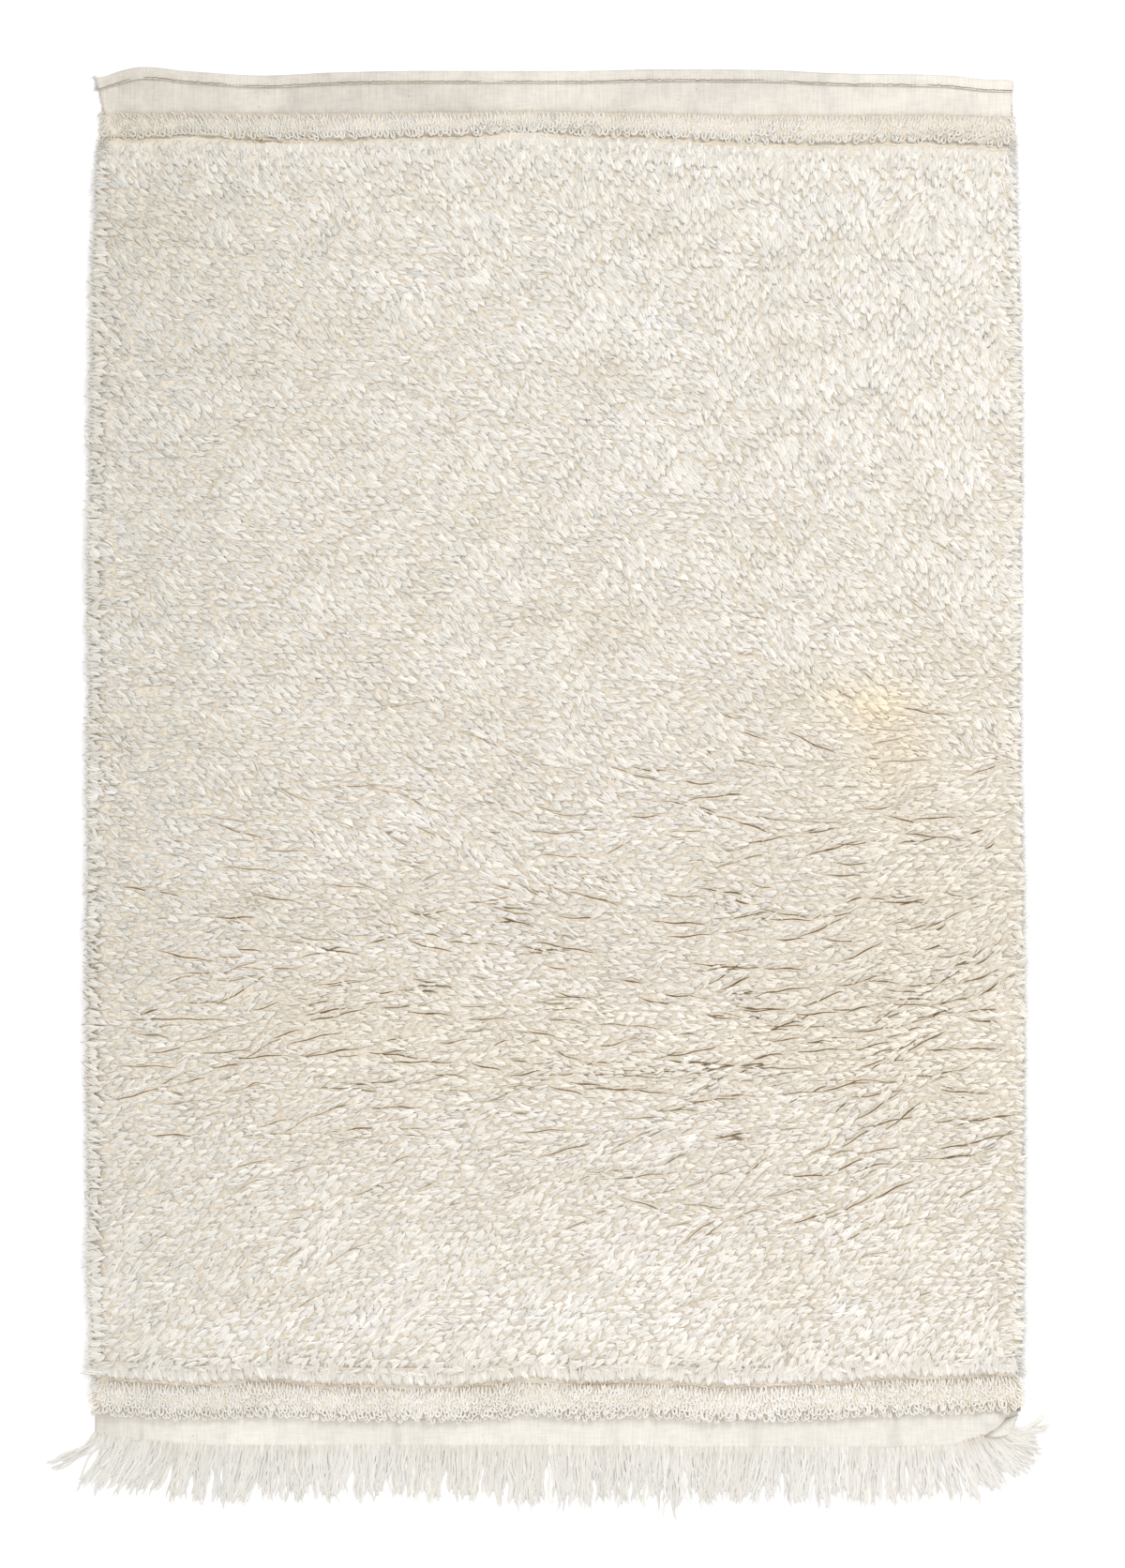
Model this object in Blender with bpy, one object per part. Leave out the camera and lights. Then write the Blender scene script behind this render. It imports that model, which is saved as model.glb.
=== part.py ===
"""A tulu rug lying flat: one woven cloth with a turned hem and shag pile, and the fringe at its foot.

Units are metres and +Z is up. The rug lies on Z = 0 with its hemmed head towards +Y and its fringed
foot towards -Y. The origin is the middle of its box, on the floor. The cloth and the pile knotted
into it are one piece, so they are one solid. The fringe stands off the foot edge as its own solid.
"""

import math
import random
from collections import namedtuple

import bmesh
import bpy
from mathutils import Matrix, Vector, noise

MM = 0.001

# The woven cloth, from head to foot.
CLOTH_LENGTH = 1.834
HALF_WIDTH = 0.612
THICKNESS = 2.2 * MM
HEM_DEPTH = 15 * MM  # cloth turned over on to the face at the head
HEM_SLIT = 0.4 * MM  # space between the turned layer and the cloth under it
HEM_TURNS = (45, 90, 135, 180)  # degrees round the turned edge, one for each facet
HEAD_WEAVE = 55 * MM  # flat weave between the head edge and the pile
HEAD_BAND = 37 * MM
BARE_LINE = 15 * MM  # flat weave between a pile band and the field
FOOT_BAND = 47 * MM
FOOT_WEAVE = 42 * MM
RIDGE_HEIGHT = 4 * MM  # how far the cloth humps up along a bare line

# The pile.
FIELD_HEIGHT = 15.5 * MM
BAND_HEIGHT = 12.5 * MM
LUMP = 5.5 * MM  # how far the tops of the tufts rise and fall
LUMP_SIZE = 62 * MM
OVERHANG = 7 * MM  # pile past the selvedge, before its locks
LEAN = 1.5 * MM  # pile past its first and last rows
RIM_WIDTH = 9 * MM  # over which the pile rounds off at its edges
RIM_SHARE = 0.42  # height left at the very edge
CORNER_COLUMNS = (0.0, 9 * MM, 20 * MM, 33 * MM, 48 * MM)  # closer columns, from each selvedge
INNER_COLUMNS = 34
FIELD_ROWS = 46
BAND_ROWS = 3
LOCK_LENGTHS = (3 * MM, 9 * MM)
LOCK_TAPER = 0.4
LOCK_DROOP = 1.5 * MM

# The fringe.
STRANDS = 188
STRAND_WIDTH = 3.0 * MM
STRAND_HEIGHT = 2.0 * MM
STRAND_TAPER = 0.8  # width kept from one third of a strand to the next
STRAND_STEPS = 3
LENGTH_SPREAD = 7 * MM
STRIP_GAP = 0.5 * MM  # between the foot edge and the strip that holds the strands
STRIP_WIDTH = 4 * MM
LEAD = 0.5  # share of its turn that a strand has already made where it leaves the strip
CLUSTER = 9  # neighbouring strands that draw together towards their tips
CLUSTER_PULL = 0.25
STRAY_STRAND = 118  # one warp end that was left long
STRAY_EXTRA = 22 * MM

SEED = 11

# How far each line that crosses the rug strays from straight, in millimetres towards the head.
# across is the share of the width, from the left selvedge.
Cross = namedtuple("Cross", "across head_edge head_crease foot_crease foot_edge")
CROSSINGS = (
    Cross(0.00, -9, -3, 5, 17),
    Cross(0.05, 6, 0, 1, 8),
    Cross(0.10, 1, 3, -3, 2),
    Cross(0.18, -5, -1, 2, 0),
    Cross(0.26, -1, -1, -4, 0),
    Cross(0.34, 1, 3, -5, 0),
    Cross(0.42, 1, 5, -4, 0),
    Cross(0.47, 1, 10, 4, 0),
    Cross(0.53, 1, 4, -2, 0),
    Cross(0.60, 3, 3, 1, -1),
    Cross(0.67, 3, -4, -6, -2),
    Cross(0.74, 2, -7, -4, -2),
    Cross(0.81, -2, -7, 0, -2),
    Cross(0.87, -3, -5, 5, -1),
    Cross(0.93, -5, -7, 6, 1),
    Cross(0.97, -10, -11, 10, 16),
    Cross(1.00, -11, -12, 8, 37),
)

# How far each selvedge strays outwards from half the width, in millimetres. along is the share
# of the length, from the head.
Side = namedtuple("Side", "along left right")
SIDES = (
    Side(0.00, 1, -1),
    Side(0.03, -10, -1),
    Side(0.06, -8, 0),
    Side(0.25, 0, 7),
    Side(0.45, 2, 5),
    Side(0.65, 4, 11),
    Side(0.90, 1, 9),
    Side(0.97, 0, 6),
    Side(1.00, 0, -1),
)

# Where the fringe points and how long it is. heading is in degrees from +X, so -90 points away
# from the foot edge. length is in millimetres.
Comb = namedtuple("Comb", "across heading length")
COMBING = (
    Comb(0.00, -144, 80),
    Comb(0.03, -128, 68),
    Comb(0.07, -112, 66),
    Comb(0.13, -99, 70),
    Comb(0.22, -101, 74),
    Comb(0.32, -92, 76),
    Comb(0.42, -97, 78),
    Comb(0.52, -88, 80),
    Comb(0.62, -92, 80),
    Comb(0.72, -98, 78),
    Comb(0.82, -88, 80),
    Comb(0.90, -84, 76),
    Comb(0.94, -72, 76),
    Comb(0.97, -50, 76),
    Comb(0.985, -28, 74),
    Comb(1.00, 8, 68),
)

# The pinched corner of the cloth at the right of the foot.
PINCH_ACROSS = 0.972
PINCH_INSET = 24 * MM  # from the foot edge
PINCH_RADIUS = 24 * MM
PINCH_HEIGHT = 9 * MM

PILE_COLOUR = (0.86, 0.82, 0.72, 1.0)
FRINGE_COLOUR = (0.87, 0.84, 0.77, 1.0)

# The skins of the cloth: its back, its face and the tops of the pile.
BACK, FACE, PILE = 0, 1, 2


def read(table, column, at):
    """A smooth curve through one column of a table, whose first column is the position."""
    after = next((i for i, row in enumerate(table) if row[0] >= at), len(table) - 1)
    after = max(after, 1)
    places = [row[0] for row in table]
    values = [getattr(row, column) for row in table]

    def slope(i):
        below, above = max(i - 1, 0), min(i + 1, len(table) - 1)
        return (values[above] - values[below]) / (places[above] - places[below])

    run = places[after] - places[after - 1]
    t = min(max((at - places[after - 1]) / run, 0.0), 1.0)
    start = (1 + 2 * t) * (1 - t) ** 2 * values[after - 1] + t * t * (3 - 2 * t) * values[after]
    turns = t * (1 - t) ** 2 * slope(after - 1) - t * t * (1 - t) * slope(after)
    return start + run * turns


def strays(column, across):
    return read(CROSSINGS, column, across) * MM


# ---- the lines that cross the rug, each a function of the share of the width --------------


def head_turn(across):
    """The head edge, less the radius of its turned cloth."""
    return CLOTH_LENGTH / 2 + strays("head_edge", across) - THICKNESS - HEM_SLIT / 2


def head_band_start(across):
    return CLOTH_LENGTH / 2 - HEAD_WEAVE + 0.4 * strays("head_crease", across)


def head_crease(across):
    """Where the head band ends and its bare line begins."""
    return CLOTH_LENGTH / 2 - HEAD_WEAVE - HEAD_BAND + strays("head_crease", across)


def field_head(across):
    return head_crease(across) - BARE_LINE


def foot_crease(across):
    """Where the foot band begins, past its bare line."""
    return -CLOTH_LENGTH / 2 + FOOT_WEAVE + FOOT_BAND + strays("foot_crease", across)


def field_foot(across):
    return foot_crease(across) + BARE_LINE


def foot_band_end(across):
    return -CLOTH_LENGTH / 2 + FOOT_WEAVE + 0.9 * strays("foot_crease", across)


def foot_edge(across):
    return -CLOTH_LENGTH / 2 + strays("foot_edge", across)


def rim_steps(count, length):
    """Shares of a length cut into count steps, the first and last of them RIM_WIDTH long."""
    inside = (length - 2 * RIM_WIDTH) / (count - 2)
    places = [0.0] + [RIM_WIDTH + i * inside for i in range(count - 1)] + [length]
    return [place / length for place in places]


# One zone of the cloth between two crossing lines, foot first. steps are the shares of it at which
# it is cut into rows, rise is the height of its pile, and humps lift its face, one for each step.
Zone = namedtuple("Zone", "low high steps rise humps")


def bare_line(low, high, humps):
    return Zone(low, high, (0.0, 0.2, 0.5, 0.8, 1.0), 0.0, humps)


def pile_zone(low, high, rows, rise):
    length = high(0.5) - low(0.5)
    return Zone(low, high, rim_steps(rows, length), rise, (0.0,) * (rows + 1))


ZONES = (
    Zone(foot_edge, foot_band_end, (0.0, 0.35, 0.7, 1.0), 0.0, (0.0,) * 4),
    pile_zone(foot_band_end, foot_crease, BAND_ROWS, BAND_HEIGHT),
    bare_line(foot_crease, field_foot, (0.0, 0.3, 1.0, 0.8, 0.0)),
    pile_zone(field_foot, field_head, FIELD_ROWS, FIELD_HEIGHT),
    bare_line(field_head, head_crease, (0.0, 0.8, 1.0, 0.3, 0.0)),
    pile_zone(head_crease, head_band_start, BAND_ROWS, BAND_HEIGHT),
    Zone(head_band_start, head_turn, (0.0, 0.5, 1.0), 0.0, (0.0,) * 3),
)
ROWS = sum(len(zone.steps) - 1 for zone in ZONES)


def column_shares():
    """Shares of the width at which the cloth is cut into columns, closer near the selvedges."""
    left = [place / (2 * HALF_WIDTH) for place in CORNER_COLUMNS]
    right = [1.0 - share for share in reversed(left)]
    inner = [left[-1] + (right[0] - left[-1]) * i / INNER_COLUMNS for i in range(1, INNER_COLUMNS)]
    return left + inner + right


ACROSS_STEPS = column_shares()
COLUMNS = len(ACROSS_STEPS) - 1


def row_place(row):
    """The zone that a grid line lies in, and its number there. A shared line is the lower zone's."""
    for zone in ZONES:
        rows = len(zone.steps) - 1
        if row <= rows:
            return zone, row
        row -= rows
    raise ValueError("row outside the rug")


def row_y(row, across):
    zone, number = row_place(row)
    low, high = zone.low(across), zone.high(across)
    return low + (high - low) * zone.steps[number]


def row_hump(row):
    zone, number = row_place(row)
    return zone.humps[number] * RIDGE_HEIGHT


def crosswise(across, y, past=0.0):
    """X at a share of the width, between the two selvedges moved outwards by past."""
    along = 0.5 - y / CLOTH_LENGTH
    left = -HALF_WIDTH - read(SIDES, "left", along) * MM - past
    right = HALF_WIDTH + read(SIDES, "right", along) * MM + past
    return left + (right - left) * across


def pinch(x, y):
    """How far the pinched corner lifts the cloth."""
    middle_y = foot_edge(PINCH_ACROSS) + PINCH_INSET
    middle = Vector((crosswise(PINCH_ACROSS, middle_y), middle_y))
    away = (Vector((x, y)) - middle).length / PINCH_RADIUS
    return PINCH_HEIGHT * math.cos(min(away, 1.0) * math.pi / 2) ** 2


def lump(x, y):
    """The tops of the tufts: lumps a little longer across the rug than along it."""
    broad = noise.noise(Vector((x / LUMP_SIZE, 1.5 * y / LUMP_SIZE, 0.0)))
    fine = noise.noise(Vector((2.9 * x / LUMP_SIZE, 3.3 * y / LUMP_SIZE, 5.0)))
    return LUMP * (broad + fine)


# ---- building ---------------------------------------------------------------------------


def material(name, colour):
    made = bpy.data.materials.new(name)
    made.use_nodes = True
    shader = made.node_tree.nodes["Principled BSDF"]
    shader.inputs["Base Color"].default_value = colour
    shader.inputs["Roughness"].default_value = 0.95
    shader.inputs["Metallic"].default_value = 0.0
    return made


def add_object(name, bm, finish):
    bmesh.ops.recalc_face_normals(bm, faces=bm.faces)
    mesh = bpy.data.meshes.new(name)
    bm.to_mesh(mesh)
    bm.free()
    mesh.materials.append(finish)
    made = bpy.data.objects.new(name, mesh)
    bpy.context.scene.collection.objects.link(made)
    return made


def extrude(bm, faces, keep=False):
    """Extrudes faces as one region and returns the faces at its far end."""
    made = bmesh.ops.extrude_face_region(bm, geom=faces)["geom"]
    if not keep:
        bmesh.ops.delete(bm, geom=faces, context="FACES")
    return [item for item in made if isinstance(item, bmesh.types.BMFace)]


def corners(faces):
    return {vertex for face in faces for vertex in face.verts}


def grow(bm, faces, place):
    """Extrudes each face by itself and sets its far end with the matrix that place(index) gives."""
    tag = bm.faces.layers.int["growth"]
    made = bmesh.ops.extrude_discrete_faces(bm, faces=faces)["faces"]
    for face in made:
        matrix = place(face[tag], face)
        for vertex in face.verts:
            vertex.co = matrix @ vertex.co
    return made


# ---- the cloth and its pile ---------------------------------------------------------------


def lay_cloth(bm, column, row, skin):
    """The cloth: a grid on the floor, given its outline and its thickness."""
    bmesh.ops.create_grid(bm, x_segments=COLUMNS, y_segments=ROWS, size=0.5)
    for vertex in bm.verts:
        vertex[column] = round((vertex.co.x + 0.5) * COLUMNS)
        vertex[row] = round((vertex.co.y + 0.5) * ROWS)
        vertex[skin] = BACK
        across = ACROSS_STEPS[vertex[column]]
        y = row_y(vertex[row], across)
        x = crosswise(across, y)
        vertex.co = (x, y, pinch(x, y))
    back = list(bm.faces)
    face = extrude(bm, back, keep=True)
    for vertex in corners(face):
        vertex[skin] = FACE
        vertex.co.z += THICKNESS + row_hump(vertex[row])
    bmesh.ops.dissolve_faces(bm, faces=[f for f in back if max(v.co.z for v in f.verts) == 0.0])
    return face


def raise_pile(bm, face, column, row, skin):
    """The pile: its zones of the face are extruded to a lumpy height and past the selvedges."""
    start = 0
    for zone in ZONES:
        stop = start + len(zone.steps) - 1
        if zone.rise:
            within = [f for f in face if f.is_valid and all(start <= v[row] <= stop for v in f.verts)]
            tops = corners(extrude(bm, within))
            raise_zone(tops, zone, (start, stop), column, row, skin)
        start = stop


def raise_zone(tops, zone, ends, column, row, skin):
    for vertex in tops:
        vertex[skin] = PILE
        across = ACROSS_STEPS[vertex[column]]
        y = row_y(vertex[row], across)
        y += LEAN * ((vertex[row] == ends[1]) - (vertex[row] == ends[0]))
        x = crosswise(across, y, OVERHANG)
        at_rim = vertex[column] in (0, COLUMNS) or vertex[row] in ends
        share = RIM_SHARE if at_rim else 1.0
        vertex.co = (x, y, THICKNESS + share * (zone.rise + lump(x, y)))


def turn_hem(bm, row, skin):
    """The hem: the head edge is rolled over on to the face in facets, then run back flat."""
    edge = [f for f in bm.faces if all(v[row] == ROWS and v[skin] != PILE for v in f.verts)]
    edge = [f for f in edge if {v[skin] for v in f.verts} == {BACK, FACE}]
    axis_z = THICKNESS + HEM_SLIT / 2
    roots = {(v[skin], round(v.co.x / MM)): v.co.y for v in corners(edge)}
    for degrees in HEM_TURNS:
        edge = extrude(bm, edge)
        for vertex in corners(edge):
            radius = axis_z if vertex[skin] == BACK else HEM_SLIT / 2
            vertex.co.y = roots[vertex[skin], round(vertex.co.x / MM)]
            vertex.co.y += radius * math.sin(math.radians(degrees))
            vertex.co.z = axis_z - radius * math.cos(math.radians(degrees))
    edge = extrude(bm, edge)
    for vertex in corners(edge):
        vertex.co.y -= HEM_DEPTH - axis_z


def add_locks(bm, skin, chance):
    """A lock grows out of each side face of the pile."""
    tag = bm.faces.layers.int["growth"]
    bmesh.ops.recalc_face_normals(bm, faces=bm.faces)
    sides = [f for f in bm.faces if {v[skin] for v in f.verts} == {FACE, PILE} and abs(f.normal.x) > 0.6]
    sides.sort(key=lambda f: (f.normal.x, f.calc_center_median().y))
    for number, side in enumerate(sides):
        side[tag] = number
    reach = [chance.uniform(*LOCK_LENGTHS) for _ in sides]
    lean = [chance.uniform(-0.35, 0.35) for _ in sides]

    def lock_end(number, side):
        middle = side.calc_center_median()
        outwards = math.copysign(reach[number], middle.x)
        shift = Vector((outwards, lean[number] * reach[number], -LOCK_DROOP))
        tapered = Matrix.Scale(LOCK_TAPER, 4)
        return Matrix.Translation(middle + shift) @ tapered @ Matrix.Translation(-middle)

    grow(bm, sides, lock_end)


def build_rug(finish, chance):
    bm = bmesh.new()
    bm.faces.layers.int.new("growth")
    column, row, skin = [bm.verts.layers.int.new(name) for name in ("column", "row", "skin")]
    face = lay_cloth(bm, column, row, skin)
    raise_pile(bm, face, column, row, skin)
    turn_hem(bm, row, skin)
    add_locks(bm, skin, chance)
    return add_object("rug", bm, finish)


# ---- the fringe -------------------------------------------------------------------------


def foot_point(share):
    """A point on the cloth's foot edge, which is straight from column to column."""
    after = max(1, next(i for i, step in enumerate(ACROSS_STEPS) if step >= share))
    low, high = ACROSS_STEPS[after - 1], ACROSS_STEPS[after]
    start, end = [Vector((crosswise(s, foot_edge(s)), foot_edge(s), 0.0)) for s in (low, high)]
    return start.lerp(end, (share - low) / (high - low))


def fringe_line(share, past):
    """A point past the foot edge, square to it."""
    reach = STRAND_WIDTH / HALF_WIDTH
    run = foot_point(min(share + reach, 1.0)) - foot_point(max(share - reach, 0.0))
    run.normalize()
    return foot_point(share) + Vector((run.y, -run.x, 0.0)) * past


def strand_plan(chance):
    """For each strand its first heading and turn, its turn from step to step and its step's length."""
    plans = []
    for number in range(STRANDS):
        share = (number + 0.5) / STRANDS
        outwards = fringe_line(share, 1.0) - fringe_line(share, 0.0)
        straight_out = math.atan2(outwards.y, outwards.x)
        heading = math.radians(read(COMBING, "heading", share))
        in_cluster = (number % CLUSTER) / (CLUSTER - 1) - 0.5
        pull = -CLUSTER_PULL * in_cluster
        length = read(COMBING, "length", share) * MM + chance.uniform(-1, 1) * LENGTH_SPREAD
        if number == STRAY_STRAND:
            length += STRAY_EXTRA
        whole_turn = heading - straight_out + pull
        first_turn = LEAD * whole_turn
        turn = (whole_turn - first_turn) / (STRAND_STEPS - 1)
        plans.append((straight_out + first_turn, first_turn, turn, length / STRAND_STEPS))
    return plans


def strip_faces(bm, tag):
    """The strip along the foot edge. It returns the triangles that the strands grow from."""
    half = 0.25 * STRAND_WIDTH / HALF_WIDTH
    outer = STRIP_GAP + STRIP_WIDTH
    up = Vector((0, 0, STRAND_HEIGHT))
    feet, tops, inner_low, inner_high = [], [], [], []
    for number in range(STRANDS):
        share = (number + 0.5) / STRANDS
        feet += [bm.verts.new(fringe_line(share + side * half, outer)) for side in (-1, 1)]
        tops.append(bm.verts.new(fringe_line(share, outer) + up))
        inner_low.append(bm.verts.new(fringe_line(share, STRIP_GAP)))
        inner_high.append(bm.verts.new(fringe_line(share, STRIP_GAP) + up))
    roots = []
    for i in range(STRANDS):
        left, right = feet[2 * i], feet[2 * i + 1]
        root = bm.faces.new((left, right, tops[i]))
        root[tag] = i
        roots.append(root)
        bm.faces.new((right, left, inner_low[i]))
        if i + 1 < STRANDS:
            following = feet[2 * i + 2]
            bm.faces.new((right, following, tops[i + 1], tops[i]))
            bm.faces.new((following, right, inner_low[i], inner_low[i + 1]))
            bm.faces.new((inner_high[i], inner_high[i + 1], inner_low[i + 1], inner_low[i]))
            bm.faces.new((tops[i], tops[i + 1], inner_high[i + 1], inner_high[i]))
    bm.faces.new((feet[0], tops[0], inner_high[0], inner_low[0]))
    bm.faces.new((tops[-1], feet[-1], inner_low[-1], inner_high[-1]))
    bmesh.ops.recalc_face_normals(bm, faces=bm.faces)
    return roots


def build_fringe(finish, chance):
    """Three-sided strands that lie level on the floor, grown from the outer side of a narrow strip."""
    bm = bmesh.new()
    ends = strip_faces(bm, bm.faces.layers.int.new("growth"))
    plans = strand_plan(chance)
    for step in range(STRAND_STEPS):

        def next_ring(number, ring, step=step):
            start, first_turn, turn, length = plans[number]
            heading = start + turn * step
            here = ring.calc_center_median()
            here.z = 0.0
            onwards = Vector((math.cos(heading), math.sin(heading), 0.0)) * length
            swing = Matrix.Rotation(turn if step else first_turn + turn / 2, 4, "Z")
            slimmer = Matrix.Scale(STRAND_TAPER, 4)
            return Matrix.Translation(here + onwards) @ swing @ slimmer @ Matrix.Translation(-here)

        ends = grow(bm, ends, next_ring)
    return add_object("fringe", bm, finish)


# ---- the whole --------------------------------------------------------------------------


def stand_on_origin(objects):
    """Moves everything so that the middle of its box, at floor level, is the origin."""
    points = [vertex.co for made in objects for vertex in made.data.vertices]
    low = Vector((min(p.x for p in points), min(p.y for p in points), 0.0))
    high = Vector((max(p.x for p in points), max(p.y for p in points), 0.0))
    for made in objects:
        made.location = -(low + high) / 2


def main():
    for old in list(bpy.data.objects):
        bpy.data.objects.remove(old)
    chance = random.Random(SEED)
    wool = material("wool_pile", PILE_COLOUR)
    warp = material("warp_fringe", FRINGE_COLOUR)
    stand_on_origin([build_rug(wool, chance), build_fringe(warp, chance)])


main()
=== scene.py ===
"""Dresses the tulu rug: wool pile, woven cloth with a stitched hem, and a combed fringe.

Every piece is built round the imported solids. Units are metres, +Z is up, and the rug lies on
Z = 0 with its hemmed head towards +Y.
"""

import math
from collections import namedtuple

import bmesh
import bpy
import numpy as np
from bpy.props import FloatProperty, FloatVectorProperty, IntProperty, PointerProperty
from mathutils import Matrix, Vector, noise
from mathutils.bvhtree import BVHTree


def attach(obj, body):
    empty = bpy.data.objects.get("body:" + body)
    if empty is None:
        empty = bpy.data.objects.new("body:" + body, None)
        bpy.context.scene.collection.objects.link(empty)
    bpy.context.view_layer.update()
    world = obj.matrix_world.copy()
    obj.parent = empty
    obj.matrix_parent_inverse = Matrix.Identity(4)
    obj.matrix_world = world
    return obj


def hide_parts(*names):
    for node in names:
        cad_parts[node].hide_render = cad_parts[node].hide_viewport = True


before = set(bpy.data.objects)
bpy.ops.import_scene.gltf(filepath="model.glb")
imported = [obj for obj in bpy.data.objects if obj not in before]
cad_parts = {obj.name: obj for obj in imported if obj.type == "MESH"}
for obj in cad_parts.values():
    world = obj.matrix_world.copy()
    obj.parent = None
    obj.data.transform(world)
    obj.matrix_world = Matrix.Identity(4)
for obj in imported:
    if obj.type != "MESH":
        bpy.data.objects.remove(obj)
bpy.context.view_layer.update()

bl_info = {
    "name": "Tulu Rug",
    "version": (1, 0, 0),
    "blender": (4, 5, 0),
    "location": "3D View > Sidebar > Rug",
    "description": "Dresses a long pile rug with yarn loops, woven cloth, a hem and a fringe",
    "category": "Add Mesh",
}

MM = 0.001

# ---- the cloth's lines, as in the solids ---------------------------------------------------

CLOTH_LENGTH = 1.834
HALF_WIDTH = 0.612
THICKNESS = 2.2 * MM
HEM_DEPTH = 15 * MM
HEAD_WEAVE = 55 * MM
HEAD_BAND = 37 * MM
BARE_LINE = 15 * MM
FOOT_BAND = 47 * MM
FOOT_WEAVE = 42 * MM

# How far each line that crosses the rug strays from straight, in millimetres towards the head.
# across is the share of the width, from the left selvedge.
Cross = namedtuple("Cross", "across head_edge head_crease foot_crease foot_edge")
CROSSINGS = (
    Cross(0.00, -9, -3, 5, 17),
    Cross(0.05, 6, 0, 1, 8),
    Cross(0.10, 1, 3, -3, 2),
    Cross(0.18, -5, -1, 2, 0),
    Cross(0.26, -1, -1, -4, 0),
    Cross(0.34, 1, 3, -5, 0),
    Cross(0.42, 1, 5, -4, 0),
    Cross(0.47, 1, 10, 4, 0),
    Cross(0.53, 1, 4, -2, 0),
    Cross(0.60, 3, 3, 1, -1),
    Cross(0.67, 3, -4, -6, -2),
    Cross(0.74, 2, -7, -4, -2),
    Cross(0.81, -2, -7, 0, -2),
    Cross(0.87, -3, -5, 5, -1),
    Cross(0.93, -5, -7, 6, 1),
    Cross(0.97, -10, -11, 10, 16),
    Cross(1.00, -11, -12, 8, 37),
)

# How far each selvedge strays outwards from half the width, in millimetres. along is the share
# of the length, from the head.
Side = namedtuple("Side", "along left right")
SIDES = (
    Side(0.00, 1, -1),
    Side(0.03, -10, -1),
    Side(0.06, -8, 0),
    Side(0.25, 0, 7),
    Side(0.45, 2, 5),
    Side(0.65, 4, 11),
    Side(0.90, 1, 9),
    Side(0.97, 0, 6),
    Side(1.00, 0, -1),
)

# Where the fringe points and how long it is. heading is in degrees from +X, so -90 points away
# from the foot edge. length is in millimetres.
Comb = namedtuple("Comb", "across heading length")
COMBING = (
    Comb(0.00, -141, 86),
    Comb(0.03, -128, 84),
    Comb(0.07, -112, 82),
    Comb(0.13, -101, 82),
    Comb(0.22, -99, 80),
    Comb(0.32, -92, 76),
    Comb(0.42, -97, 78),
    Comb(0.52, -88, 80),
    Comb(0.62, -92, 80),
    Comb(0.72, -98, 78),
    Comb(0.82, -88, 80),
    Comb(0.90, -84, 76),
    Comb(0.94, -70, 78),
    Comb(0.965, -48, 76),
    Comb(0.983, -22, 66),
    Comb(1.00, 17, 56),
)

# Which way the field's pile has been trodden, in degrees from +X, at the left, the middle and the
# right, how far patches of it stray in degrees at the left and the right, and how deep the gaps
# between locks show. along is the share of the field, from its head.
Lay = namedtuple("Lay", "along left middle right stray_left stray_right gaps")
LAYS = (
    Lay(0.00, -42, -62, -100, 24, 44, 0.22),
    Lay(0.10, -34, -40, -90, 22, 44, 0.28),
    Lay(0.25, -26, -31, -60, 20, 40, 0.40),
    Lay(0.40, -20, -28, -35, 20, 36, 0.62),
    Lay(0.52, -15, -24, 0, 22, 30, 0.75),
    Lay(0.61, -8, -16, 24, 22, 28, 1.10),
    Lay(0.70, 8, -4, 14, 18, 22, 1.70),
    Lay(0.78, 20, 8, 22, 18, 22, 1.20),
    Lay(0.87, 31, 29, 26, 18, 24, 0.65),
    Lay(0.95, 38, 34, 40, 18, 30, 0.35),
    Lay(1.00, 44, 36, 70, 20, 34, 0.30),
)


def curve(table, column):
    """A smooth curve through one column of a table, as a function of arrays of positions."""
    places = np.array([row[0] for row in table], float)
    values = np.array([getattr(row, column) for row in table], float)
    below = np.maximum(np.arange(len(table)) - 1, 0)
    above = np.minimum(np.arange(len(table)) + 1, len(table) - 1)
    slopes = (values[above] - values[below]) / (places[above] - places[below])

    def read(at):
        at = np.clip(np.asarray(at, float), places[0], places[-1])
        after = np.clip(np.searchsorted(places, at), 1, len(places) - 1)
        before = after - 1
        run = places[after] - places[before]
        t = (at - places[before]) / run
        start = (1 + 2 * t) * (1 - t) ** 2 * values[before] + t * t * (3 - 2 * t) * values[after]
        turns = t * (1 - t) ** 2 * slopes[before] - t * t * (1 - t) * slopes[after]
        return start + run * turns

    return read


HEAD_EDGE = curve(CROSSINGS, "head_edge")
HEAD_CREASE = curve(CROSSINGS, "head_crease")
FOOT_CREASE = curve(CROSSINGS, "foot_crease")
FOOT_EDGE = curve(CROSSINGS, "foot_edge")
LEFT_SIDE = curve(SIDES, "left")
RIGHT_SIDE = curve(SIDES, "right")


def head_edge(across):
    return CLOTH_LENGTH / 2 + HEAD_EDGE(across) * MM


def head_band_start(across):
    return CLOTH_LENGTH / 2 - HEAD_WEAVE + 0.4 * HEAD_CREASE(across) * MM


def head_crease(across):
    return CLOTH_LENGTH / 2 - HEAD_WEAVE - HEAD_BAND + HEAD_CREASE(across) * MM


def field_head(across):
    return head_crease(across) - BARE_LINE


def foot_crease(across):
    return -CLOTH_LENGTH / 2 + FOOT_WEAVE + FOOT_BAND + FOOT_CREASE(across) * MM


def field_foot(across):
    return foot_crease(across) + BARE_LINE


def foot_band_end(across):
    return -CLOTH_LENGTH / 2 + FOOT_WEAVE + 0.9 * FOOT_CREASE(across) * MM


def foot_edge(across):
    return -CLOTH_LENGTH / 2 + FOOT_EDGE(across) * MM


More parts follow.
